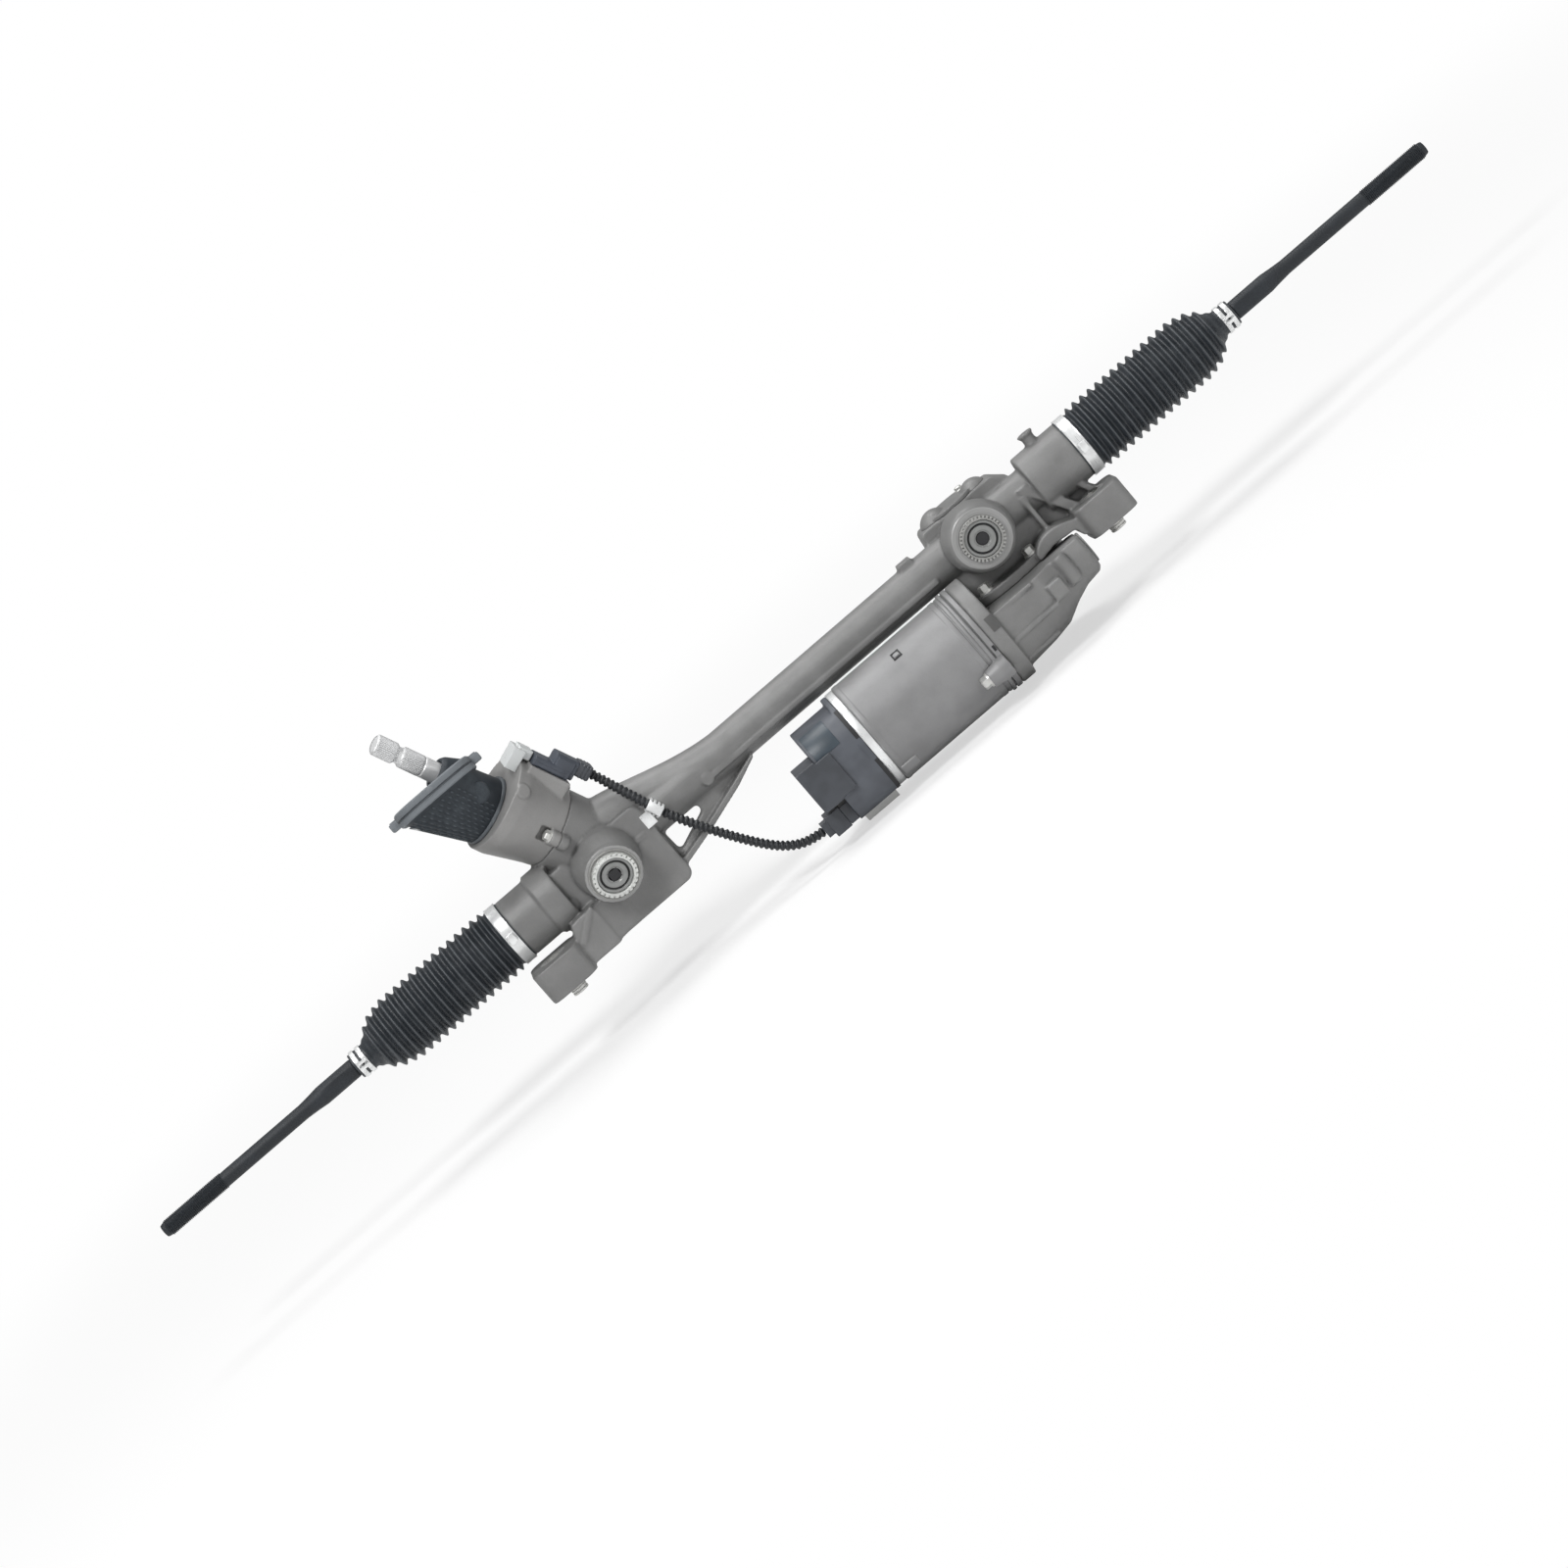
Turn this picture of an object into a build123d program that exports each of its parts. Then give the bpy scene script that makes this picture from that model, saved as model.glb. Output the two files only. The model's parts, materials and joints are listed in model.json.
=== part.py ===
from build123d import *
import math
import os

# Electric steering rack with two pinions, in millimetres.
# X runs along the rack, Y away from the front face with the two yoke plugs, Z up the input shaft.
# The origin is midway between the two mounting bolts, on the seating face under the ears.

# Clearances
RUNNING = 0.05
LOOSE = 0.3
SEAT = 0.1

# Rack line and travel
RACK_Y = 15.0
RACK_Z = 60.0
RACK_MID_X = 2.0
RACK_LENGTH = 680.0
RACK_R = 13.0
TRAVEL = 75.0

# Teeth
MODULE = 2.0
GEAR_ANGLE = 25.0
TOOTH_LINE = 7.5
BACKLASH = 0.12
TOOTHED_HALF = 88.0
FACE_HALF = 15.0

# Steering pinion
STEER_X = -196.0
STEER_TEETH = 8
STEER_SHIFT = 0.3
STEER_LEAN = 21.5
STEER_ROLL = 15.0

# Drive pinion, worm wheel and worm
DRIVE_X = 186.5
DRIVE_TEETH = 10
DRIVE_SHIFT = 0.2
WHEEL_TEETH = 41
WORM_STARTS = 2
WORM_PITCH_R = 9.0
WORM_ANGLE = 20.0
WORM_BACKLASH = 0.35
WORM_DROP = 60.0
WHEEL_FACE = 12.0
WHEEL_RIM = 8.0
WORM_HALF = 15.0

# Rack housing
TUBE_R = 17.0
TUBE_BORE_R = 14.75
END_R = 25.5
END_LENGTH = 43.0
SPIGOT_R = 23.5
SPIGOT_LENGTH = 11.0
SOCKET_BORE_R = 21.0
LEFT_END_X = -283.0
RIGHT_END_X = 287.0
STOP_THICK = 7.0
BUSH_X = -10.0
BUSH_LENGTH = 20.0

# Mounting ears
BOLT_SPACING = 550.0
EAR_HEIGHT = 27.0
EAR_LENGTH = 44.0
EAR_DEPTH = 46.0
BOLT_HOLE_R = 6.25
SLEEVE_R = 7.0
SLEEVE_DROP = 8.0

# Yokes
YOKE_R = 15.0
YOKE_LENGTH = 21.0
LINER_THICK = 1.0
YOKE_FACE = 44.0
PLUG_R = 16.5
PLUG_THICK = 12.0
LOCK_RING_R = 18.2
LOCK_RING_THICK = 4.5
STEER_BOSS_R = 23.5
DRIVE_BOSS_R = 28.5
DISC_R = 9.0
DISC_WALL = 1.5
DISC_RISE = 1.5

# Steering tower, as heights up the pinion's axis
TOWER_SPLIT = 44.0
TOWER_TOP = 94.0
TOWER_LOW_R = 33.0
TOWER_TOP_R = 40.5
TOWER_BORE_R = 24.0
STEER_JOURNAL_R = 8.5
NEEDLE_R = 6.0
NEEDLE_OUT_R = 10.0
NEEDLE_LENGTH = 14.0
STEER_BEARING_OUT_R = 17.5
STEER_BEARING_BASE = 20.0
BEARING_WIDTH = 12.0
END_CAP_R = 13.0
END_CAP_THICK = 8.0
INPUT_R = 8.5
INPUT_TIP = 201.0
TORSION_R = 2.5
SEAL_TOP = 140.0
SEAL_FOOT_R = 27.0
SEAL_SHIFT = 9.5
SEAL_RIM_SHIFT = 12.0
TOWER_LUG_OUT = 35.0
TOWER_LUG_R = 6.0
TOWER_LUG_HEIGHT = 8.0
TOWER_BOLT_TURNS = (-50.0, 50.0, 180.0)
SENSOR_PAD_OUT = 41.5
SEAL_WALL = 3.0
SEAL_LENGTH = 74.0
SEAL_DEPTH = 76.0
SEAL_RIM = 12.0

# Motor and control unit
MOTOR_R = 46.0
MOTOR_X0 = 22.4
MOTOR_X1 = 130.0
FLANGE_THICK = 9.0
FLANGE_R = 47.5
BELL_FLANGE = 14.0
MOTOR_LUG_R = 7.5
MOTOR_LUG_LENGTH = 19.5
MOTOR_LUG_TURN = 207.0
BAND_WIDTH = 6.8
BAND_R = 45.0
COVER_LENGTH = 40.0
SHAFT_R = 6.0
ROTOR_R = 22.0
STATOR_R = 41.0
STATOR_LENGTH = 62.0
AIR_GAP = 0.7

MAGNET_THICK = 2.5
MAGNET_COUNT = 8
STATOR_TEETH = 12
MOTOR_BEARING_R = 11.0
MOTOR_BEARING_WIDTH = 7.0
COUPLING_R = 12.0
COUPLING_GAP = 0.75
WORM_RELIEF = 6.0
COVER_HALF = 43.0
COVER_DROP = 3.0
COVER_CORNER = 26.0
COVER_WALL = 3.0
BOARD_THICK = 1.6
SHIELD_THICK = 0.8

# Tie rods
BALL_R = 12.0
BALL_OUT = 25.0
SOCKET_R = 19.0
SOCKET_LENGTH = 44.0
TIE_NECK_R = 5.5
TIE_ROD_R = 6.6
TIE_SHANK_R = 8.0
TIE_THREAD_R = 7.0
TIE_LENGTH = 280.0
THREAD_LENGTH = 63.0
SHANK_START = 84.0
SHANK_LENGTH = 34.0

# Bellows
BELLOWS_R = 28.0
BELLOWS_WALL = 2.4
CUFF_R = 25.0
NOSE_R = 10.6
TIE_SWING = 22.0
SEAT_R = 14.0
STUD_R = 7.0
STUD_LENGTH = 20.0
WORM_BEARING_R = 11.0
WORM_BEARING_WIDTH = 9.0
WORM_CAP_R = 12.0
DRIVE_JOURNAL_R = 7.5
DRIVE_TOP_BEARING_R = 16.0
DRIVE_LOW_BEARING_R = 17.5
DRIVE_BEARING_WIDTH = 11.0
PINION_CAP_SEAT = 27.0

# Sensor lead and the plugs at its ends
LEAD_R = 3.8
SENSOR_SIDE = -9.0
SENSOR_OUT = -53.5
SENSOR_PLUG_LOW = 40.0
PLUG_END_X = -52.0
SIGNAL_Y = -37.0
SIGNAL_Z = -31.0
POWER_Y = -42.5
POWER_HALF = 20.5
POWER_OUT = 18.0
CLIP_ALONG = 0.3

STEER_PITCH_R = MODULE * STEER_TEETH / 2
DRIVE_PITCH_R = MODULE * DRIVE_TEETH / 2
WHEEL_PITCH_R = MODULE * WHEEL_TEETH / 2
STEER_OFFSET = TOOTH_LINE + STEER_PITCH_R + STEER_SHIFT * MODULE
DRIVE_OFFSET = TOOTH_LINE + DRIVE_PITCH_R + DRIVE_SHIFT * MODULE
WORM_CENTRES = WHEEL_PITCH_R + WORM_PITCH_R
RACK_LEFT = RACK_MID_X - RACK_LENGTH / 2
RACK_RIGHT = RACK_MID_X + RACK_LENGTH / 2
WORM_Y = RACK_Y + DRIVE_OFFSET - WORM_CENTRES
WORM_Z = RACK_Z - WORM_DROP
FLANGE_END = MOTOR_X1 + FLANGE_THICK
WORM_BEARING_START = DRIVE_X - WORM_HALF - WORM_RELIEF - WORM_BEARING_WIDTH
COUPLING_SPLIT = (FLANGE_END + WORM_BEARING_START) / 2
COUPLING_HALF = (WORM_BEARING_START - FLANGE_END) / 2 - COUPLING_GAP


def tilted(degrees):
    """The cosine and sine of an angle in degrees."""
    return math.cos(math.radians(degrees)), math.sin(math.radians(degrees))


cos_lean, sin_lean = tilted(STEER_LEAN)
cos_roll, sin_roll = tilted(STEER_ROLL)
STEER_OUT = Vector(0, cos_roll, sin_roll)
STEER_UP = Vector(-sin_lean, -cos_lean * sin_roll, cos_lean * cos_roll)

rack_line = Plane(origin=(0, RACK_Y, RACK_Z), x_dir=(0, 1, 0), z_dir=(1, 0, 0))
steer_mesh = Plane(origin=(STEER_X, RACK_Y, RACK_Z), x_dir=STEER_OUT, z_dir=STEER_UP)
drive_mesh = Plane(origin=(DRIVE_X, RACK_Y, RACK_Z), x_dir=(0, 1, 0), z_dir=(0, 0, 1))
steer_axis = Plane(steer_mesh.origin + STEER_OUT * STEER_OFFSET, x_dir=STEER_OUT, z_dir=STEER_UP)
drive_axis = Plane((DRIVE_X, RACK_Y + DRIVE_OFFSET, RACK_Z), x_dir=(0, 1, 0), z_dir=(0, 0, 1))
wheel_axis = Plane((DRIVE_X, RACK_Y + DRIVE_OFFSET, WORM_Z), x_dir=(0, 1, 0), z_dir=(0, 0, 1))
worm_line = Plane(origin=(DRIVE_X, WORM_Y, WORM_Z), x_dir=(0, 1, 0), z_dir=(1, 0, 0))
motor_line = Plane(origin=(0, WORM_Y, WORM_Z), x_dir=(0, 1, 0), z_dir=(1, 0, 0))
steer_yoke = Plane(steer_mesh.origin, x_dir=(1, 0, 0), z_dir=STEER_OUT * -1)
drive_yoke = Plane(drive_mesh.origin, x_dir=(1, 0, 0), z_dir=(0, -1, 0))
YOKE_LINES = (steer_yoke, drive_yoke)

nodes = {}
os.makedirs("parts", exist_ok=True)


def disc(frame, radius, low, high, hole=0.0):
    """A cylinder or ring on a frame's axis, between two heights."""
    body = Pos(0, 0, low) * Cylinder(radius, high - low, align=(Align.CENTER, Align.CENTER, Align.MIN))
    if hole:
        body -= Pos(0, 0, low) * Cylinder(hole, high - low, align=(Align.CENTER, Align.CENTER, Align.MIN))
    return frame.location * body


def turned(frame, *outline):
    """A solid of revolution on a frame's axis, from (radius, height) points."""
    face = make_face(Polyline(*[(r, 0, z) for r, z in outline], close=True))
    return frame.location * revolve(face, Axis.Z)


def block(x0, x1, y0, y1, z0, z1):
    """A box between its corner values."""
    return Pos((x0 + x1) / 2, (y0 + y1) / 2, (z0 + z1) / 2) * Box(x1 - x0, y1 - y0, z1 - z0)


def slab(points, y0, y1):
    """A plate with an outline drawn in the front view, between two depths."""
    face = make_face(Polyline(*[(x, y0, z) for x, z in points], close=True))
    return extrude(face, amount=y1 - y0, dir=(0, 1, 0))


def horn(*stations):
    """A smooth body through round sections along the rack, from (x, y, z, radius) stations."""
    places = [Plane((x, y, z), x_dir=(0, 1, 0), z_dir=(1, 0, 0)).location for x, y, z, r in stations]
    return loft([place * Circle(station[3]).face() for place, station in zip(places, stations)])


def dome(x, y, base, radius, sink):
    """The top of a ball that stands on a level face."""
    ball = Pos(x, y, base - sink) * Sphere(radius)
    return ball - block(x - radius, x + radius, y - radius, y + radius, base - 2 * radius, base)


def ring_places(count, radius, start=0.0):
    """Places spaced evenly round a circle, as (x, y) pairs."""
    turns = [math.radians(start + 360 * i / count) for i in range(count)]
    return [(radius * math.cos(a), radius * math.sin(a)) for a in turns]


def involute(angle):
    """The involute function of an angle in radians."""
    return math.tan(angle) - angle


def gear_outline(teeth, shift, angle, thin, steps=4):
    """The closed outline of a spur gear, with a tooth centred on local +X."""
    pitch_r = MODULE * teeth / 2
    pressure = math.radians(angle)
    base_r = pitch_r * math.cos(pressure)
    root_r = pitch_r + MODULE * (shift - 1.25)
    tip_r = pitch_r + MODULE * (shift + 1) - 0.15 * MODULE
    thickness = MODULE * (math.pi / 2 + 2 * shift * math.tan(pressure)) - thin
    half_base = thickness / (2 * pitch_r) + involute(pressure)
    flank_start = max(base_r, root_r)
    radii = [flank_start + (tip_r - flank_start) * i / steps for i in range(steps + 1)]
    flank = [(r, half_base - involute(math.acos(min(1, base_r / r)))) for r in radii]
    if root_r < base_r:
        flank.insert(0, (root_r, half_base))
    points = []
    for tooth in range(teeth):
        middle = 2 * math.pi * tooth / teeth
        for r, half in flank:
            points.append((r * math.cos(middle - half), r * math.sin(middle - half)))
        for r, half in reversed(flank):
            points.append((r * math.cos(middle + half), r * math.sin(middle + half)))
    return points


def spur_teeth(frame, teeth, shift, low, high):
    """A spur gear on a frame's axis."""
    face = make_face(Polyline(*gear_outline(teeth, shift, GEAR_ANGLE, 0.0), close=True))
    return frame.location * (Pos(0, 0, low) * extrude(face, amount=high - low))


def rack_gaps(mesh, lean):
    """The gaps between rack teeth, and the flat over their tips, as cutting solids."""
    half_pitch = math.pi * MODULE / 2
    slope = math.tan(math.radians(GEAR_ANGLE))
    root = TOOTH_LINE - 1.25 * MODULE
    top = RACK_R + 2
    half_line = half_pitch / 2 + BACKLASH / 2
    root_half = half_line - (TOOTH_LINE - root) * slope
    top_half = half_line + (top - TOOTH_LINE) * slope
    reach = TOOTHED_HALF * math.cos(math.radians(lean))
    count = int(reach / (2 * half_pitch))
    depth = 4 * RACK_R + 2 * reach * math.tan(math.radians(lean))
    cutters = []
    for i in range(-count, count + 1):
        middle = 2 * half_pitch * i
        outline = [
            (root, middle - root_half),
            (top, middle - top_half),
            (top, middle + top_half),
            (root, middle + root_half),
        ]
        face = make_face(Polyline(*outline, close=True))
        cutters.append(Pos(0, 0, -depth / 2) * extrude(face, amount=depth))
    tip = TOOTH_LINE + MODULE
    flat = Pos(tip + RACK_R / 2, 0, 0) * Box(RACK_R, (2 * count + 1) * 2 * half_pitch, depth)
    cutters.append(flat)
    return [mesh.location * c for c in cutters]


def bearing(frame, inner_r, outer_r, base, width):
    """A shielded ball bearing, as its outer ring with both shields and its inner ring."""
    wall = (outer_r - inner_r) * 0.28
    top = base + width
    outer = turned(frame, (outer_r, base), (outer_r, top), (inner_r + wall + RUNNING, top),
                   (inner_r + wall + RUNNING, top - SHIELD_THICK), (outer_r - wall, top - SHIELD_THICK),
                   (outer_r - wall, base + SHIELD_THICK), (inner_r + wall + RUNNING, base + SHIELD_THICK),
                   (inner_r + wall + RUNNING, base))
    inner = disc(frame, inner_r + wall, base, top, inner_r)
    return outer, inner


def ear(side):
    """One mounting ear, a rounded block round its vertical bolt."""
    x = side * BOLT_SPACING / 2
    body = block(x - EAR_LENGTH / 2, x + EAR_LENGTH / 2, -EAR_DEPTH / 2, EAR_DEPTH / 2, 0, EAR_HEIGHT)
    return fillet(body.edges().filter_by(Axis.Z), 9)


def tower_bolt_lines():
    """The axes of the three bolts that hold the sensor housing on the pinion boss."""
    lines = []
    for turn in TOWER_BOLT_TURNS:
        place = steer_axis.location * Pos(*ring_places(1, TOWER_LUG_OUT, turn)[0], 0)
        lines.append(Plane(place.position, x_dir=STEER_OUT, z_dir=STEER_UP))
    return lines


def left_body():
    """The steering side of the casting: pinion boss, yoke boss, body, web and ear arm."""
    x0 = STEER_X - 50
    x1 = STEER_X + 47
    low = 3.0
    body = block(x0, x1, RACK_Y - 17, RACK_Y + 17, low, RACK_Z + 17)
    body = fillet(body.edges().filter_by(Axis.Y), 8)
    body += disc(steer_axis, TOWER_LOW_R, -46, TOWER_SPLIT)
    for line in tower_bolt_lines():
        body += disc(line, TOWER_LUG_R, TOWER_SPLIT - TOWER_LUG_HEIGHT, TOWER_SPLIT)
    yoke_boss = turned(steer_yoke, (0, -10), (STEER_BOSS_R + 6, -10), (STEER_BOSS_R + 4, 20),
                       (STEER_BOSS_R, YOKE_FACE - 6), (STEER_BOSS_R, YOKE_FACE), (0, YOKE_FACE))
    web = slab([(x0, low), (STEER_X, low), (STEER_X + 41, 11), (STEER_X + 79, 21), (STEER_X + 117, 33),
                (STEER_X + 140, 43), (STEER_X + 140, RACK_Z), (x0, RACK_Z)], RACK_Y - 7, RACK_Y + 7)
    rail = slab([(x0, low), (STEER_X, low), (STEER_X + 41, 11), (STEER_X + 79, 21), (STEER_X + 117, 33),
                 (STEER_X + 140, 43), (STEER_X + 140, 46), (STEER_X + 116, 38), (STEER_X + 78, 26),
                 (STEER_X + 40, 16), (STEER_X, 9), (x0, 9)], RACK_Y - 14, RACK_Y + 14)
    flare = horn((STEER_X - 4, RACK_Y + 10, RACK_Z + 19, 22), (STEER_X + 30, RACK_Y + 9, RACK_Z + 16, 21),
                 (STEER_X + 52, RACK_Y + 8, RACK_Z + 12, 19.5),
                 (STEER_X + 95, RACK_Y + 2, RACK_Z + 3.5, 17.5), (STEER_X + 138, RACK_Y, RACK_Z, TUBE_R - 0.2))
    arm_end = -BOLT_SPACING / 2
    arm = slab([(arm_end, low), (x0 + 20, low), (x0 + 20, RACK_Z - 20), (x0 - 2, RACK_Z - 22),
                (x0 - 8, EAR_HEIGHT - 4), (arm_end, EAR_HEIGHT - 4)], RACK_Y - 30, RACK_Y + 2)
    window = slab([(STEER_X + 49, RACK_Z - TUBE_R - 0.5), (STEER_X + 83, RACK_Z - TUBE_R - 0.5),
                   (STEER_X + 82, 35), (STEER_X + 50, 22)], RACK_Y - 20, RACK_Y + 20)
    window = fillet(window.edges().filter_by(Axis.Y), 3)
    front = RACK_Y - TUBE_R
    stay = slab([(x0 - 2, 18), (x0 + 3, 18), (x0 + 23, 40), (x0 + 18, 40)], front - 2, RACK_Y)
    stud_line = Plane((STEER_X - 42, RACK_Y, RACK_Z - 13), x_dir=(1, 0, 0), z_dir=(0, -1, 0))
    body += yoke_boss + web + rail + flare + arm + stay + disc(stud_line, 5.5, 0, TUBE_R + 2)
    return body - window


def right_body():
    """The drive side of the casting: bearing tower, yoke boss, gearbox flange, ribs and ear arm."""
    tower = disc(drive_axis, 25, -WORM_DROP + 14, 27)
    flange = disc(drive_axis, 50, -WORM_DROP + 14, -WORM_DROP + 22)
    lobes = slab([(DRIVE_X - 37, RACK_Z), (DRIVE_X - 33, RACK_Z + 27), (DRIVE_X + 37, RACK_Z + 27),
                  (DRIVE_X + 50, RACK_Z + 16), (DRIVE_X + 54, RACK_Z)], RACK_Y - 2, RACK_Y + 32)
    lobes = fillet(lobes.edges().filter_by(Axis.Y).group_by(Axis.Z)[-1], 5)
    yoke_boss = turned(drive_yoke, (0, -10), (DRIVE_BOSS_R - 3, -10), (DRIVE_BOSS_R + 1, 24),
                       (DRIVE_BOSS_R - 2, YOKE_FACE - 3), (DRIVE_BOSS_R - 5, YOKE_FACE), (0, YOKE_FACE))
    skirt = slab([(DRIVE_X - 40, RACK_Z - 10), (DRIVE_X - 30, RACK_Z - 40), (DRIVE_X + 44, RACK_Z - 40),
                  (DRIVE_X + 44, RACK_Z)], RACK_Y - 8, RACK_Y + 20)
    ear_x = BOLT_SPACING / 2
    back = slab([(DRIVE_X + 40, RACK_Z - 44), (ear_x + 14, EAR_HEIGHT - 8), (ear_x, RACK_Z - 20),
                 (DRIVE_X + 50, RACK_Z), (DRIVE_X + 40, RACK_Z)], RACK_Y - 4, RACK_Y + 4)
    arm_top = Spline((DRIVE_X + 24, RACK_Z - 40), (DRIVE_X + 36, RACK_Z - 32), (DRIVE_X + 50, RACK_Z - 32),
                     (DRIVE_X + 68, RACK_Z - 38), (ear_x - 6, EAR_HEIGHT - 4))
    arm_low = Polyline((ear_x - 6, EAR_HEIGHT - 4), (ear_x - 6, 3), (DRIVE_X + 72, 3), (DRIVE_X + 63, 8),
                       (DRIVE_X + 60, 16), (DRIVE_X + 40, RACK_Z - 42.5), (DRIVE_X + 24, RACK_Z - 45.5),
                       (DRIVE_X + 24, RACK_Z - 40))
    arm_face = Plane(origin=(0, RACK_Y + 6, 0), x_dir=(1, 0, 0), z_dir=(0, -1, 0))
    arm = arm_face.location * extrude(make_face(arm_top + arm_low), amount=38)
    long_rib = slab([(DRIVE_X + 45, RACK_Z + 6), (DRIVE_X + 53, RACK_Z + 6), (DRIVE_X + 80, EAR_HEIGHT - 4),
                     (DRIVE_X + 70, EAR_HEIGHT - 4)], RACK_Y - 18, RACK_Y + 4)
    post_rib = slab([(DRIVE_X + 43, RACK_Z), (DRIVE_X + 47, RACK_Z), (DRIVE_X + 47, RACK_Z - 36),
                     (DRIVE_X + 43, RACK_Z - 36)], RACK_Y - 18, RACK_Y + 4)
    short_rib = slab([(ear_x - 6, RACK_Z - 18), (ear_x - 1, RACK_Z - 18), (ear_x + 8, EAR_HEIGHT - 2),
                      (ear_x + 2, EAR_HEIGHT - 2)], RACK_Y - 16, RACK_Y + 4)
    return tower + flange + lobes + yoke_boss + skirt + back + arm + long_rib + post_rib + short_rib


def housing_bores():
    """Everything that is bored out of the rack housing."""
    low_stop = RACK_LEFT + TRAVEL + LOOSE + STOP_THICK
    high_stop = RACK_RIGHT - TRAVEL - LOOSE - STOP_THICK
    ends = (LEFT_END_X - SPIGOT_LENGTH, RIGHT_END_X + SPIGOT_LENGTH)
    cuts = [disc(rack_line, TUBE_BORE_R, ends[0] - 5, ends[1] + 5)]
    cuts.append(disc(rack_line, SOCKET_BORE_R, ends[0] - 5, low_stop))
    cuts.append(disc(rack_line, SOCKET_BORE_R, high_stop, ends[1] + 5))
    for line in YOKE_LINES:
        cuts.append(disc(line, YOKE_R + RUNNING, 0, YOKE_FACE + 5))
        cuts.append(disc(line, PLUG_R + SEAT, YOKE_FACE - PLUG_THICK, YOKE_FACE + 5))
    steer_tip = STEER_PITCH_R + MODULE * (1 + STEER_SHIFT)
    cuts.append(disc(steer_axis, steer_tip + 1, -FACE_HALF - 6, STEER_BEARING_BASE))
    cuts.append(disc(steer_axis, NEEDLE_OUT_R, -FACE_HALF - 6 - NEEDLE_LENGTH - 6, 0))
    cuts.append(disc(steer_axis, END_CAP_R + SEAT, -60, -FACE_HALF - 6 - NEEDLE_LENGTH - 4))
    cuts.append(disc(steer_axis, STEER_BEARING_OUT_R, STEER_BEARING_BASE, TOWER_SPLIT + 5))
    drive_tip = DRIVE_PITCH_R + MODULE * (1 + DRIVE_SHIFT)
    cuts.append(disc(drive_axis, drive_tip + 1, -FACE_HALF - 6, FACE_HALF))
    cuts.append(disc(drive_axis, DRIVE_TOP_BEARING_R, FACE_HALF, 40))
    cuts.append(disc(drive_axis, 24 + LOOSE, PINION_CAP_SEAT, 60))
    cuts.append(disc(motor_line, FLANGE_R + 1, MOTOR_X0, FLANGE_END + BELL_FLANGE + 1))
    for line in motor_bolt_lines():
        cuts.append(disc(line, MOTOR_LUG_R + 3, MOTOR_X0, FLANGE_END + 1))
    cuts.append(disc(drive_axis, 18, -WORM_DROP, -FACE_HALF - 6))
    return cuts


def rack_housing():
    """The one-piece aluminium casting that carries everything else."""
    tube = disc(rack_line, TUBE_R, LEFT_END_X, RIGHT_END_X)
    tube += disc(rack_line, END_R, LEFT_END_X, LEFT_END_X + END_LENGTH)
    tube += disc(rack_line, END_R, RIGHT_END_X - END_LENGTH, RIGHT_END_X)
    tube += disc(rack_line, SPIGOT_R, LEFT_END_X - SPIGOT_LENGTH, LEFT_END_X)
    tube += disc(rack_line, SPIGOT_R, RIGHT_END_X, RIGHT_END_X + SPIGOT_LENGTH)
    collar = disc(rack_line, END_R + 2.5, LEFT_END_X + 28, LEFT_END_X + 47)
    post_line = Plane((RIGHT_END_X - 21, RACK_Y, RACK_Z), z_dir=(0, 0, 1))
    post = disc(post_line, 5.4, END_R - 4, 35) + disc(post_line, 7, 33, 35)
    pad = block(123, 136, RACK_Y - 8, RACK_Y + 8, RACK_Z, RACK_Z + TUBE_R + 3.5)
    rail = block(STEER_X + 100, DRIVE_X - 46, RACK_Y - TUBE_R - 0.8, RACK_Y, RACK_Z - 9, RACK_Z - 5)
    spot_line = Plane((STEER_X + 102, RACK_Y, RACK_Z - 7), x_dir=(1, 0, 0), z_dir=(0, -1, 0))
    spot = disc(spot_line, 5, 0, TUBE_R + 1)
    casting = tube + collar + post + pad + rail + spot + left_body() + right_body() + ear(-1) + ear(1)
    for cut in housing_bores():
        casting -= cut
    for side in (-1, 1):
        bolt_line = Plane((side * BOLT_SPACING / 2, 0, 0), z_dir=(0, 0, 1))
        casting -= disc(bolt_line, SLEEVE_R, -1, EAR_HEIGHT + 1)
    return casting


def mounting_sleeves():
    """A steel sleeve through each ear, standing out below as a dowel."""
    sleeves = []
    for side in (-1, 1):
        line = Plane((side * BOLT_SPACING / 2, 0, 0), z_dir=(0, 0, 1))
        sleeves.append(disc(line, SLEEVE_R, -SLEEVE_DROP, EAR_HEIGHT, BOLT_HOLE_R))
    return sleeves


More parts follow.
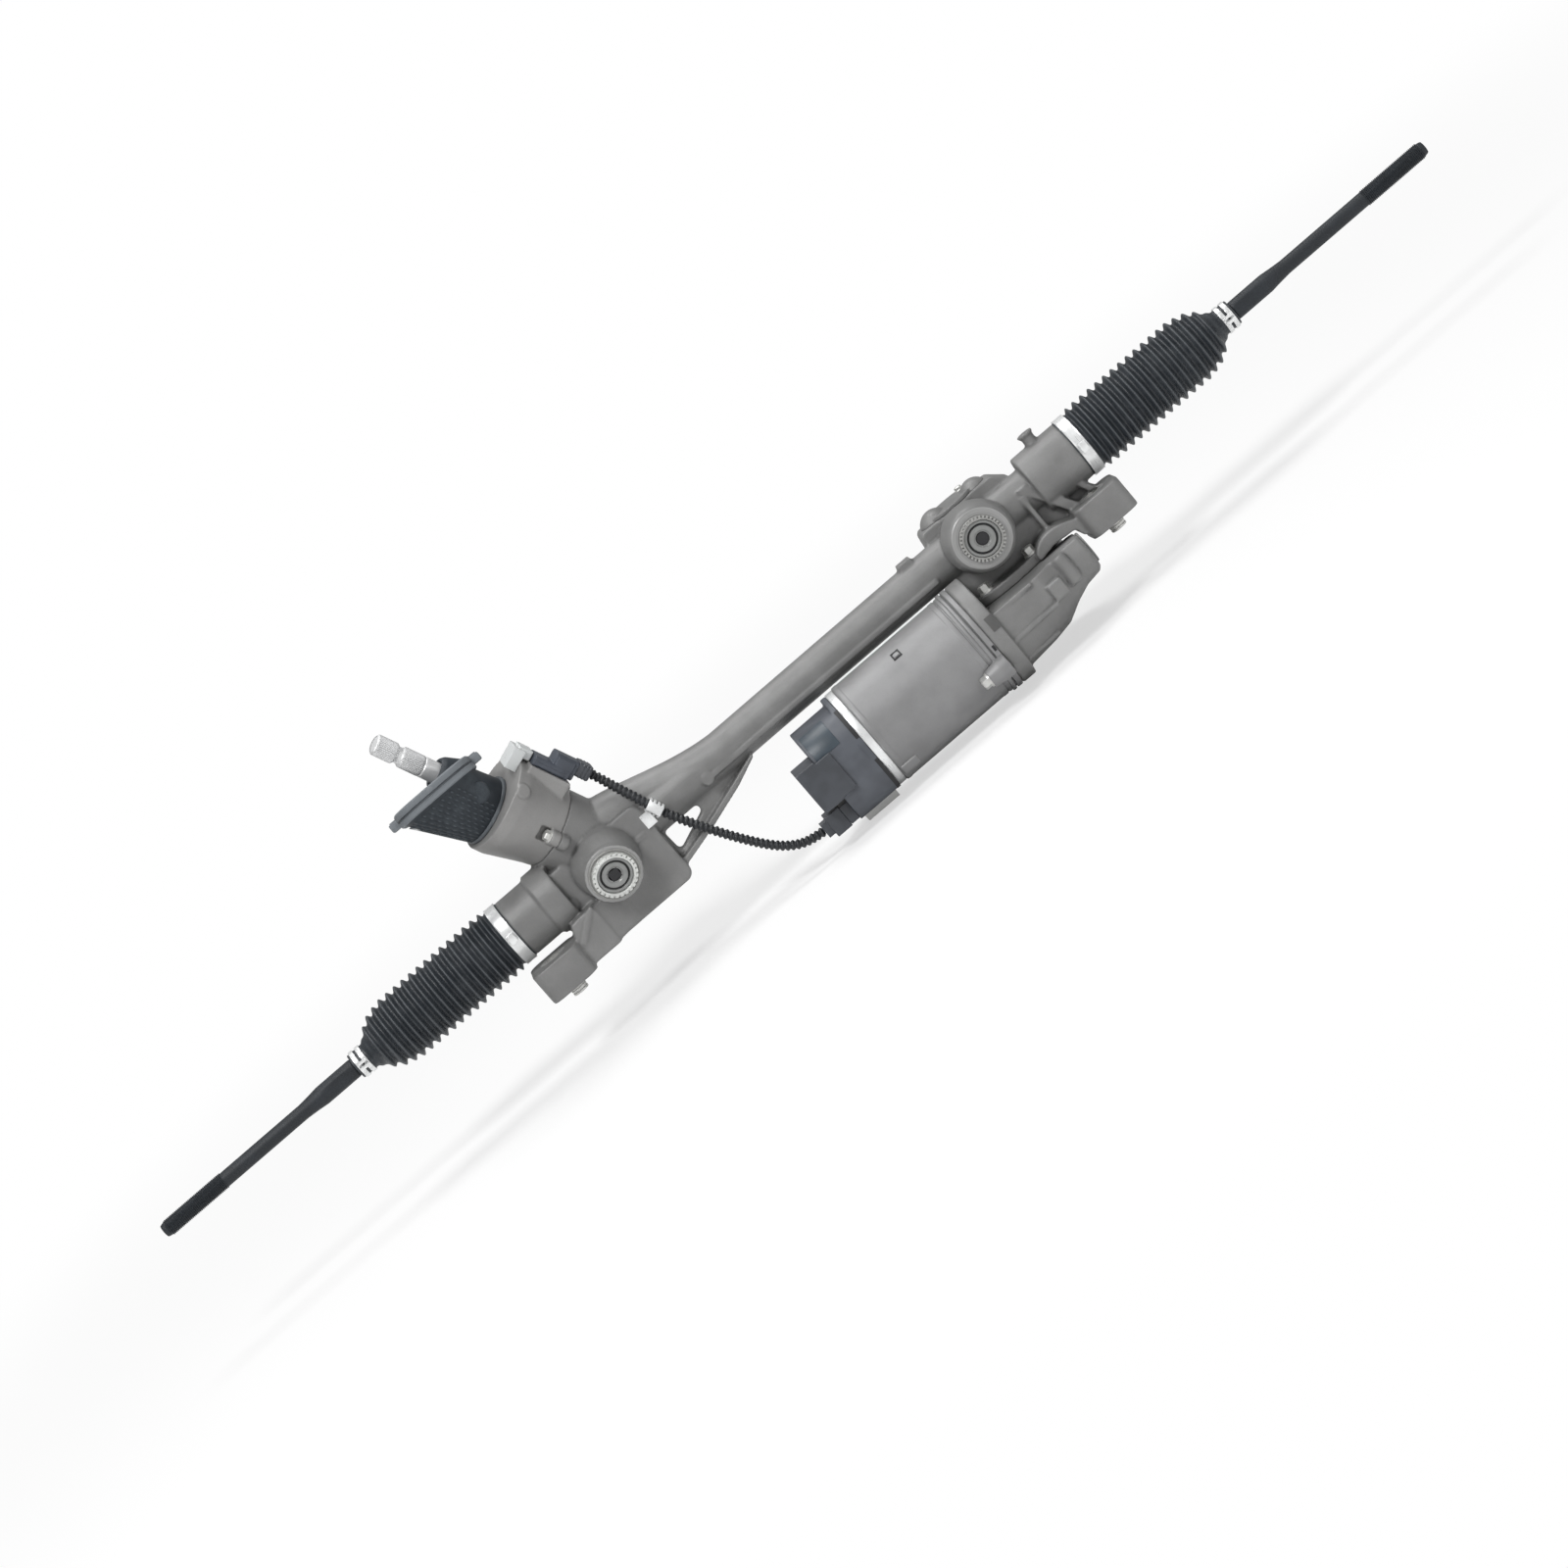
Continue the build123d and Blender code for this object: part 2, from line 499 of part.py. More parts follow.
def yoke_parts():
    """Yoke, liner, spring discs, plug and lock ring on each yoke line."""
    yokes, liners, springs, plugs, rings = [], [], [], [], []
    hollow = disc(rack_line, RACK_R + RUNNING + LINER_THICK, -400, 400)
    bar = disc(rack_line, RACK_R + RUNNING, -400, 400)
    plug_base = YOKE_FACE - PLUG_THICK
    for line in YOKE_LINES:
        yoke = disc(line, YOKE_R, 4, 4 + YOKE_LENGTH) - hollow
        shell = (disc(line, YOKE_R, 4, 4 + YOKE_LENGTH) & hollow) - bar
        yokes.append(yoke)
        liners.append(shell)
        base = 4 + YOKE_LENGTH + SEAT
        for turn in (0, 1):
            first = base + turn * (DISC_RISE + DISC_WALL)
            heights = (first, first + DISC_RISE) if turn else (first + DISC_RISE, first)
            springs.append(turned(line, (4, heights[0]), (DISC_R, heights[1]),
                                  (DISC_R, heights[1] + DISC_WALL), (4, heights[0] + DISC_WALL)))
        plug = disc(line, PLUG_R, plug_base, YOKE_FACE)
        plug += disc(line, PLUG_R - 2, YOKE_FACE, YOKE_FACE + LOCK_RING_THICK - 1)
        plug -= disc(line, 10.6, YOKE_FACE - 3, YOKE_FACE + 8)
        plug += disc(line, 8.4, YOKE_FACE - 4, YOKE_FACE + 1)
        socket = extrude(RegularPolygon(5, 6), amount=12)
        plug -= line.location * (Pos(0, 0, YOKE_FACE - 7) * socket)
        plugs.append(plug)
        ring = disc(line, LOCK_RING_R, YOKE_FACE + SEAT, YOKE_FACE + LOCK_RING_THICK, PLUG_R - 2 + SEAT)
        for x, y in ring_places(12, LOCK_RING_R):
            ring -= line.location * (Pos(x, y, YOKE_FACE + 4) * Cylinder(1.3, 12))
        rings.append(ring)
    return yokes, liners, springs, plugs, rings


def steering_tower():
    """The sensor housing over the pinion, with its bolt lugs and sensor pad."""
    tower = turned(steer_axis, (0, TOWER_SPLIT), (TOWER_LOW_R, TOWER_SPLIT),
                   (TOWER_LOW_R + 1, TOWER_SPLIT + 8), (TOWER_TOP_R, TOWER_TOP - 10),
                   (TOWER_TOP_R, TOWER_TOP), (0, TOWER_TOP))
    for line in tower_bolt_lines():
        lug_top = TOWER_SPLIT + TOWER_LUG_HEIGHT
        tower += disc(line, TOWER_LUG_R, TOWER_SPLIT, lug_top)
        tower -= disc(line, TOWER_LUG_R, lug_top, lug_top + 10)
    pad = Pos(SENSOR_SIDE, -SENSOR_PAD_OUT + 11, TOWER_SPLIT + 26) * Box(24, 22, 36)
    tower += steer_axis.location * pad
    tower -= disc(steer_axis, TOWER_BORE_R, TOWER_SPLIT - 1, TOWER_TOP - 5)
    tower -= disc(steer_axis, INPUT_R + 4, TOWER_TOP - 10, TOWER_TOP + 5)
    return tower


def tower_bolts():
    """Bolt heads on the tower's three lugs."""
    head = Pos(0, 0, TOWER_SPLIT + TOWER_LUG_HEIGHT) * extrude(RegularPolygon(4.6, 6), amount=5)
    return [line.location * head for line in tower_bolt_lines()]


def bulkhead_seal():
    """A rubber seal that widens from the tower to a rim against the body."""
    rim_centre = steer_axis.origin + STEER_UP * SEAL_TOP - Vector(SEAL_RIM_SHIFT, 0, 0)
    rim = Plane(rim_centre, x_dir=(1, 0, 0), z_dir=(0, 0.16, 0.987))
    base = rim.location * Pos(0, 0, -SEAL_RIM)
    foot_place = steer_axis.location * Pos(0, SEAL_SHIFT, TOWER_TOP)
    half_length, half_depth = SEAL_LENGTH / 2, SEAL_DEPTH / 2
    head = base * Ellipse(half_length - 3, half_depth - 3).face()
    skirt = loft([foot_place * Circle(SEAL_FOOT_R).face(), head])
    inner_foot = foot_place * (Pos(0, 0, -SEAT) * Circle(SEAL_FOOT_R - SEAL_WALL).face())
    inner_head = base * Ellipse(half_length - 3 - SEAL_WALL, half_depth - 3 - SEAL_WALL).face()
    plate = base * extrude(RectangleRounded(SEAL_LENGTH, SEAL_DEPTH, 24), amount=SEAL_RIM)
    for side in (-1, 1):
        plate += rim.location * (Pos(side * (half_length + 2), 0, -SEAL_RIM / 2) * Box(11, 12, 7))
    seal = (skirt - loft([inner_foot, inner_head])) + plate
    return seal - disc(steer_axis, INPUT_R + LOOSE, TOWER_TOP - 5, SEAL_TOP + 40)


def sensor_parts():
    """Sensor ring in the tower, its connector, the plug and the pale lug."""
    ring = disc(steer_axis, TOWER_BORE_R - SEAT, 62, 76, 16)
    pad_face = -SENSOR_PAD_OUT
    block_body = fillet(Box(20, 8, 31).edges().filter_by(Axis.Z), 2)
    mouth_body = fillet(Box(16, 16, 20).edges().filter_by(Axis.Z), 3)
    connector = Pos(SENSOR_SIDE, pad_face - 4, TOWER_SPLIT + 27.5) * block_body
    connector += Pos(SENSOR_SIDE, SENSOR_OUT + 3, TOWER_SPLIT + 18) * mouth_body
    connector -= Pos(SENSOR_SIDE, SENSOR_OUT, TOWER_SPLIT + 12) * Box(11, 7, 20)
    connector = steer_axis.location * connector
    grip = fillet(Box(15, 12, 12).edges().filter_by(Axis.Z), 2.5)
    plug = Pos(SENSOR_SIDE, SENSOR_OUT, TOWER_SPLIT + 12.5) * Box(10.6, 6.6, 18)
    plug = steer_axis.location * (plug + Pos(SENSOR_SIDE, SENSOR_OUT, TOWER_SPLIT + 2) * grip)
    lug = steer_axis.location * (Pos(-4, -TOWER_TOP_R + 2, TOWER_TOP + 5) * Box(18, 18, 10))
    lug += steer_axis.location * (Pos(-4, -TOWER_TOP_R - 5, TOWER_TOP) * Box(14, 8, 12))
    lug -= disc(steer_axis, TOWER_TOP_R, TOWER_TOP - 20, TOWER_TOP)
    return ring, connector, plug, lug


def steering_shafts():
    """Pinion, torsion bar, input shaft and magnet ring on the steering axis."""
    needle_low = -FACE_HALF - 6 - NEEDLE_LENGTH
    pinion = spur_teeth(steer_axis, STEER_TEETH, STEER_SHIFT, -FACE_HALF, FACE_HALF)
    pinion += disc(steer_axis, NEEDLE_R, needle_low, -FACE_HALF)
    pinion += disc(steer_axis, STEER_JOURNAL_R, FACE_HALF, TOWER_SPLIT - 4)
    pinion += disc(steer_axis, 13, TOWER_SPLIT - 4, TOWER_SPLIT + 12)
    pinion -= disc(steer_axis, TORSION_R + 1.5, FACE_HALF + 13, TOWER_SPLIT + 15)
    pinion -= disc(steer_axis, TORSION_R, FACE_HALF, FACE_HALF + 14)
    slot_floor = TOWER_SPLIT + 4
    slot = Pos(0, 0, slot_floor + 6) * Box(30, 7.4, 12)
    pinion -= steer_axis.location * slot
    pinion -= disc(steer_axis, 10, slot_floor, slot_floor + 20)
    torsion = disc(steer_axis, TORSION_R, FACE_HALF + 1, 150)
    shaft = disc(steer_axis, INPUT_R, slot_floor + LOOSE, INPUT_TIP)
    shaft += steer_axis.location * (Pos(0, 0, slot_floor + 4.5) * Box(25, 5, 8))
    shaft -= disc(steer_axis, TORSION_R + 1.5, slot_floor, 136)
    shaft -= disc(steer_axis, TORSION_R + RUNNING, 135, 151)
    shaft -= disc(steer_axis, INPUT_R + 2, 178, 182, INPUT_R - 1.2)
    magnets = disc(steer_axis, 14, 64, 74, INPUT_R)
    return pinion, torsion, shaft, magnets


def drive_shaft():
    """Drive pinion with its journals, the wheel hub and the toothed rim."""
    pinion = spur_teeth(drive_axis, DRIVE_TEETH, DRIVE_SHIFT, -FACE_HALF, FACE_HALF)
    pinion += disc(drive_axis, DRIVE_JOURNAL_R, FACE_HALF, PINION_CAP_SEAT - 0.6)
    pinion += disc(drive_axis, 8.5, -WORM_DROP - 8, -FACE_HALF)
    pinion += disc(drive_axis, DRIVE_JOURNAL_R, -WORM_DROP - 21, -WORM_DROP - 8)
    half = WHEEL_FACE / 2
    rim_r = WHEEL_PITCH_R - MODULE * 1.25 - WHEEL_RIM + 2
    hub = disc(wheel_axis, 14, -half - 1, half + 1, 8.5)
    hub += disc(wheel_axis, rim_r, -3, 3, 8.5)
    hub += disc(wheel_axis, rim_r, -half, half, rim_r - 4)
    for x, y in ring_places(6, 23):
        hub -= wheel_axis.location * (Pos(x, y, 0) * Cylinder(4.5, 20))
    lead_angle = MODULE * WORM_STARTS / (2 * WORM_PITCH_R)
    turn = math.degrees(WHEEL_FACE * lead_angle / WHEEL_PITCH_R)
    outline = gear_outline(WHEEL_TEETH, 0, WORM_ANGLE, WORM_BACKLASH / 2, 2)
    low_face = make_face(Polyline(*outline, close=True))
    low = Pos(0, 0, -half) * (Rot(0, 0, -turn / 2) * low_face)
    high = Pos(0, 0, half) * (Rot(0, 0, turn / 2) * low_face)
    rim = wheel_axis.location * loft([low, high], ruled=True)
    rim -= disc(wheel_axis, rim_r, -half - 1, half + 1)
    return pinion, hub, rim


def worm():
    """The worm: a two-start thread made by twisting its cross-section along the axis."""
    slope = math.tan(math.radians(WORM_ANGLE))
    root_r = WORM_PITCH_R - 1.25 * MODULE
    tip_r = WORM_PITCH_R + MODULE
    advance = MODULE * WORM_STARTS / 2
    points = []
    for start in range(WORM_STARTS):
        middle = 2 * math.pi * start / WORM_STARTS
        radii = (root_r, WORM_PITCH_R, tip_r)
        half_line = math.pi * MODULE / 4 - WORM_BACKLASH / 4
        half = [(half_line - (r - WORM_PITCH_R) * slope) / advance for r in radii]
        for r, h in zip(radii, half):
            points.append((r * math.cos(middle - h), r * math.sin(middle - h)))
        points.append((tip_r * math.cos(middle), tip_r * math.sin(middle)))
        for r, h in reversed(list(zip(radii, half))):
            points.append((r * math.cos(middle + h), r * math.sin(middle + h)))
    lead = math.pi * MODULE * WORM_STARTS
    turn = 360 * 2 * WORM_HALF / lead
    face = make_face(Polyline(*points, close=True)).face()
    thread = Solid.extrude_linear_with_rotation(face, (0, 0, 0), (0, 0, 2 * WORM_HALF), turn)
    thread = Pos(0, 0, -WORM_HALF) * (Rot(0, 0, -turn / 2) * thread)
    body = worm_line.location * thread
    body += disc(worm_line, SHAFT_R, COUPLING_SPLIT + 0.5 - DRIVE_X, -WORM_HALF)
    body += disc(worm_line, SHAFT_R, WORM_HALF, WORM_HALF + 16.5)
    return body


def gearbox():
    """The gearbox casting: wheel chamber behind, worm tunnel in front, motor flange at its left."""
    low = -WORM_DROP - 14
    top = -WORM_DROP + 14 - SEAT
    chamber = disc(drive_axis, 50, low, top)
    chamber += disc(drive_axis, 24, low - 14, low)
    flange_far = FLANGE_END + BELL_FLANGE
    bell = turned(motor_line, (0, FLANGE_END), (FLANGE_R - 1.5, FLANGE_END),
                  (FLANGE_R - 1.5, FLANGE_END + 1.5), (FLANGE_R, FLANGE_END + 1.5),
                  (FLANGE_R, flange_far - 1), (FLANGE_R - 6, flange_far),
                  (39, DRIVE_X - 6), (36, DRIVE_X + 11), (28, DRIVE_X + 26), (22.5, DRIVE_X + 40),
                  (20.5, DRIVE_X + 54), (17.5, DRIVE_X + 57), (0, DRIVE_X + 57))
    neck = Plane((DRIVE_X + 29.5, WORM_Y - 20, 0), z_dir=(0, 0, 1))
    eye = Plane((DRIVE_X + 18.5, WORM_Y, -4), x_dir=(1, 0, 0), z_dir=(0, -1, 0))
    case = chamber + bell + disc(neck, 6.5, -6, 13) + disc(eye, 5.5, 0, 37)
    case -= block(flange_far, 400, -200, 200, RACK_Z + top, 400)
    half = WHEEL_FACE / 2
    case -= disc(wheel_axis, WHEEL_PITCH_R + MODULE + 1.5, -half - 2, 30)
    case -= disc(drive_axis, DRIVE_LOW_BEARING_R, low - 20, 0)
    case -= disc(worm_line, WORM_PITCH_R + MODULE + 1.5, -WORM_HALF - WORM_RELIEF, WORM_HALF + 8)
    case -= disc(worm_line, WORM_BEARING_R, -WORM_HALF - 16, WORM_HALF + 20)
    case -= disc(motor_line, COUPLING_R + 1.5, MOTOR_X1, DRIVE_X - WORM_HALF - 15)
    case -= disc(worm_line, WORM_CAP_R, WORM_HALF + 8 + WORM_BEARING_WIDTH, 80)
    case -= disc(motor_line, 70, 0, FLANGE_END)
    return case


def motor_bolt_lines():
    """The axes of the two bolts that hold the motor on the gearbox."""
    places = ring_places(2, MOTOR_R + 2, MOTOR_LUG_TURN)
    return [Plane((0, WORM_Y + y, WORM_Z + z), x_dir=(0, 1, 0), z_dir=(1, 0, 0)) for y, z in places]


def motor_parts():
    """Motor can, its flange and bolts, and the band between the can and the control unit."""
    can = disc(motor_line, MOTOR_R, MOTOR_X0, MOTOR_X1, STATOR_R)
    can += disc(motor_line, MOTOR_R, MOTOR_X0, MOTOR_X0 + MOTOR_BEARING_WIDTH, MOTOR_BEARING_R)
    flange = disc(motor_line, FLANGE_R, MOTOR_X1, FLANGE_END)
    flange -= disc(motor_line, FLANGE_R + 1, MOTOR_X1 + 3, MOTOR_X1 + 4.5, FLANGE_R - 2)
    lug_start = FLANGE_END - MOTOR_LUG_LENGTH
    beside_can = disc(motor_line, MOTOR_R + SEAT, MOTOR_X0, MOTOR_X1)
    bolts = []
    for place in motor_bolt_lines():
        lug = turned(place, (0, lug_start), (MOTOR_LUG_R, lug_start), (MOTOR_LUG_R + 2, MOTOR_X1),
                     (MOTOR_LUG_R + 2, FLANGE_END), (0, FLANGE_END))
        flange += lug - beside_can
        head = disc(place, 5.6, lug_start - 7, lug_start) + disc(place, 6.8, lug_start - 1.6, lug_start)
        bolts.append(head - beside_can)
    flange -= disc(motor_line, MOTOR_BEARING_R, MOTOR_X1 - 1, FLANGE_END + 1)
    band = disc(motor_line, BAND_R, MOTOR_X0 - BAND_WIDTH, MOTOR_X0, BAND_R - 4)
    return can, flange, band, bolts


def motor_inside():
    """Stator with its teeth, shaft, rotor core, magnets and coupling."""
    middle = (MOTOR_X0 + MOTOR_X1) / 2
    low, high = middle - STATOR_LENGTH / 2, middle + STATOR_LENGTH / 2
    bore = ROTOR_R + MAGNET_THICK + AIR_GAP
    reach = STATOR_R - 4 - bore
    stator = disc(motor_line, STATOR_R, low, high, STATOR_R - 6)
    for turn in range(STATOR_TEETH):
        tooth = Pos(bore + reach / 2, 0, middle) * Box(reach, 6, STATOR_LENGTH)
        stator += motor_line.location * (Rot(0, 0, 360 * turn / STATOR_TEETH) * tooth)
    stator -= disc(motor_line, bore, low - 1, high + 1)
    shaft = disc(motor_line, SHAFT_R, MOTOR_X0 - 2, COUPLING_SPLIT)
    core = disc(motor_line, ROTOR_R, low, high, SHAFT_R)
    magnets = disc(motor_line, ROTOR_R + MAGNET_THICK, low + 2, high - 2, ROTOR_R)
    for turn in range(MAGNET_COUNT):
        gap = Pos(ROTOR_R + MAGNET_THICK, 0, middle) * Box(2 * MAGNET_THICK + 2, 2, STATOR_LENGTH + 2)
        magnets -= motor_line.location * (Rot(0, 0, 360 * turn / MAGNET_COUNT) * gap)
    coupling_low, coupling_high = COUPLING_SPLIT - COUPLING_HALF, COUPLING_SPLIT + COUPLING_HALF
    coupling = disc(motor_line, COUPLING_R, coupling_low, coupling_high, SHAFT_R)
    return stator, shaft, core, magnets, coupling


def control_unit():
    """Cover, heat sink, board and the two connectors on the motor's end."""
    end = MOTOR_X0 - BAND_WIDTH
    start = end - COVER_LENGTH
    inner_half = COVER_HALF - COVER_WALL
    middle = Pos(0, -COVER_DROP, 0)
    outline = middle * RectangleRounded(2 * COVER_HALF, 2 * (COVER_HALF - COVER_DROP), COVER_CORNER)
    inner_corner = COVER_CORNER - COVER_WALL
    hollow = middle * RectangleRounded(2 * inner_half, 2 * (inner_half - COVER_DROP), inner_corner)
    cover = motor_line.location * (Pos(0, 0, start) * extrude(outline, amount=COVER_LENGTH))
    cover -= motor_line.location * (Pos(0, 0, start + COVER_WALL) * extrude(hollow, amount=COVER_LENGTH))
    cover += disc(motor_line, BAND_R - 0.5, end - 5, end, BAND_R - 9)
    under = WORM_Z - COVER_HALF
    sink = block(start + 4, end - 5 - SEAT, WORM_Y - 15, WORM_Y + 15, under - 6, under)
    for place in range(5):
        y = WORM_Y - 12 + 6 * place
        sink -= block(start + 3, end, y - 1.6, y + 1.6, under - 7, under - 2)
    board = motor_line.location * (Pos(0, 0, start + 12) * extrude(hollow, amount=BOARD_THICK))
    power_front = POWER_Y - POWER_HALF
    power = block(start - POWER_OUT, start, power_front, POWER_Y + POWER_HALF, WORM_Z - 18, WORM_Z + 19)
    power += block(start, start + 14, power_front, WORM_Y - COVER_HALF - SEAT, WORM_Z - 17, WORM_Z + 17)
    power -= block(start - POWER_OUT - 1, start - 3, power_front + 2, POWER_Y + POWER_HALF - 2,
                   WORM_Z - 16, WORM_Z + 17)
    for pin in (-1, 1):
        power += block(start - 13, start, POWER_Y - 1.5, POWER_Y + 1.5, pin * 8 - 4, pin * 8 + 4)
    signal = block(start - 8, start, SIGNAL_Y - 13, SIGNAL_Y + 13, SIGNAL_Z - 8, SIGNAL_Z + 8)
    signal -= block(start - 9, start - 2, SIGNAL_Y - 11, SIGNAL_Y + 11, SIGNAL_Z - 6, SIGNAL_Z + 6)
    inset = SEAT
    plug = block(start - 8, start - 2 - inset, SIGNAL_Y - 11 + inset, SIGNAL_Y + 11 - inset,
                 SIGNAL_Z - 6 + inset, SIGNAL_Z + 6 - inset)
    plug += block(start - 22, start - 8, SIGNAL_Y - 12, SIGNAL_Y + 12, SIGNAL_Z - 9, SIGNAL_Z + 9)
    plug += block(PLUG_END_X, start - 22, SIGNAL_Y - 7, SIGNAL_Y + 7, SIGNAL_Z - 6, SIGNAL_Z + 6)
    return cover, sink, board, power, signal, plug


def sensor_lead():
    """The corrugated lead from the sensor plug, past the front of the tube, to the control plug."""
    first = (steer_axis.location * Pos(SENSOR_SIDE, SENSOR_OUT, SENSOR_PLUG_LOW)).position
    route = [
        first,
        first - STEER_UP * 8.7,
        Vector(-152.8, 4.0, 96.5),
        Vector(-146.5, -4.0, 82.0),
        Vector(-137.0, -12.0, 58.0),
        Vector(-122.0, -14.0, 31.0),
        Vector(-106.0, -20.0, 6.0),
        Vector(-90.0, -28.5, -14.5),
        Vector(-77.0, -34.0, -25.0),
        Vector(-64.0, -36.6, -30.0),
        Vector(PLUG_END_X, SIGNAL_Y, SIGNAL_Z),
    ]
    radii = []
    for before, here, after in zip(route, route[1:], route[2:]):
        turn = math.radians((here - before).get_angle(after - here))
        shorter = min((here - before).length, (after - here).length)
        radii.append(0.45 * shorter / math.tan(turn / 2))
    path = FilletPolyline(*route, radius=radii)
    section = Plane(origin=path @ 0, z_dir=path % 0) * Circle(LEAD_R)
    lead = sweep(section, path=path)
    print("lead radii", [round(r, 1) for r in radii], "length", round(path.length, 1))
    print("lead volume", round(lead.volume), "section times length", round(math.pi * LEAD_R**2 * path.length))
    return lead, path


def lead_clip(path):
    """A steel clip that holds the lead against the front of the tube."""
    place = path @ CLIP_ALONG
    line = Plane(origin=place, z_dir=path % CLIP_ALONG)
    clip = disc(line, LEAD_R + 2, -2.5, 2.5, LEAD_R + 2 * LOOSE)
    front = RACK_Y - TUBE_R
    clip += block(place.X - 15, place.X - 4.6, front - 1.6, front, RACK_Z - 6, RACK_Z + 6)
    clip += block(place.X - 7, place.X - 5, place.Y, front, RACK_Z - 4, RACK_Z + 4)
    return clip


def bellows(end_frame):
    """One rubber bellows as its outer envelope, with its band clamp."""
    ball = BALL_OUT + abs(RACK_LEFT - LEFT_END_X)
    nose_end = ball + SHANK_START
    cuff_in = SPIGOT_R + SEAT
    outer = [(CUFF_R + 0.5, SEAT), (CUFF_R + 0.5, SPIGOT_LENGTH), (BELLOWS_R - 1, SPIGOT_LENGTH + 4),
             (BELLOWS_R, nose_end - 70), (BELLOWS_R, nose_end - 45), (BELLOWS_R - 7, nose_end - 21),
             (NOSE_R, nose_end - 14), (NOSE_R, nose_end - SEAT)]
    inner = [(TIE_ROD_R + SEAT, nose_end - SEAT), (TIE_ROD_R + SEAT, nose_end - 15),
             (BELLOWS_R - 7 - BELLOWS_WALL, nose_end - 23), (BELLOWS_R - BELLOWS_WALL, nose_end - 47),
             (BELLOWS_R - BELLOWS_WALL, nose_end - 70), (BELLOWS_R - 1 - BELLOWS_WALL, SPIGOT_LENGTH + 5),
             (cuff_in, SPIGOT_LENGTH + 1), (cuff_in, SEAT)]
    boot = turned(end_frame, *(outer + inner))
    band = disc(end_frame, CUFF_R + 2, 1.5, SPIGOT_LENGTH - 1.5, CUFF_R + 0.5 + SEAT)
    band += end_frame.location * (Pos(-CUFF_R - 3.2, 0, SPIGOT_LENGTH / 2) * Box(4, 9, 7))
    return boot, band


def rod_clamp(ball_frame):
    """The spring clamp that holds a bellows' nose on its tie rod."""
    clamp = disc(ball_frame, NOSE_R + 1.3, SHANK_START - 12, SHANK_START - 2, NOSE_R + SEAT)
    clamp += ball_frame.location * (Pos(-NOSE_R - 3.6, 0, SHANK_START - 7) * Box(5.4, 4, 10))
    return clamp


def ball_joint(end_frame):
    """Ball socket screwed into the rack's end, and its plastic seat."""
    stud = disc(end_frame, STUD_R, -STUD_LENGTH, 0)
    lip = BALL_OUT + 8
    swing = math.tan(math.radians(TIE_SWING))
    lip_r = TIE_NECK_R / math.cos(math.radians(TIE_SWING)) + 8 * swing + LOOSE
    mouth_r = lip_r + (SOCKET_LENGTH - lip) * swing
    socket = turned(end_frame, (0, 0), (SOCKET_R, 0), (SOCKET_R, SOCKET_LENGTH - 3),
                    (SOCKET_R - 2, SOCKET_LENGTH), (mouth_r, SOCKET_LENGTH), (lip_r, lip), (SEAT_R, lip),
                    (SEAT_R, 10), (0, 10))
    socket += stud
    for side in (-1, 1):
        flat = Pos(side * (SOCKET_R + 3), 0, 9) * Box(9, 40, 12)
        socket -= end_frame.location * flat
    seat = turned(end_frame, (0, 10), (SEAT_R, 10), (SEAT_R, lip), (lip_r, lip), (lip_r, lip - 1),
                  (0, lip - 1))
    ball_space = end_frame.location * (Pos(0, 0, BALL_OUT) * Sphere(BALL_R + RUNNING))
    return socket, seat - ball_space


def tie_rod(ball_frame):
    """A forged tie rod: ball, neck, rod, shank with two flats, and threaded end."""
    end_r = TIE_THREAD_R
    thread = TIE_LENGTH - THREAD_LENGTH
    rod = turned(ball_frame, (0, 0), (TIE_NECK_R, 0), (TIE_NECK_R, BALL_R + 14), (TIE_ROD_R, BALL_R + 20),
                 (TIE_ROD_R, SHANK_START), (TIE_SHANK_R, SHANK_START),
                 (TIE_SHANK_R, SHANK_START + SHANK_LENGTH),
                 (TIE_ROD_R - 0.4, SHANK_START + SHANK_LENGTH + 18), (TIE_ROD_R - 0.4, thread),
                 (end_r, thread + 1), (end_r, TIE_LENGTH - 3), (end_r - 3, TIE_LENGTH), (0, TIE_LENGTH))
    rod += ball_frame.location * Sphere(BALL_R)
    for side in (-1, 1):
        flat = Pos(side * (TIE_SHANK_R + 1.3), 0, SHANK_START + 16) * Box(4, 30, 18)
        rod -= ball_frame.location * flat
    return rod


def rack_bar():
    """The round bar with a row of teeth for each pinion and a tapped hole in each end."""
    bar = disc(rack_line, RACK_R, RACK_LEFT, RACK_RIGHT)
    bar = chamfer(bar.edges().filter_by(GeomType.CIRCLE), 1)
    for end, inward in ((RACK_LEFT, 1), (RACK_RIGHT, -1)):
        depth = sorted((end - inward, end + inward * STUD_LENGTH))
        bar -= disc(rack_line, STUD_R, *depth)
    cutters = rack_gaps(steer_mesh, STEER_LEAN) + rack_gaps(drive_mesh, 0)
    return bar - cutters


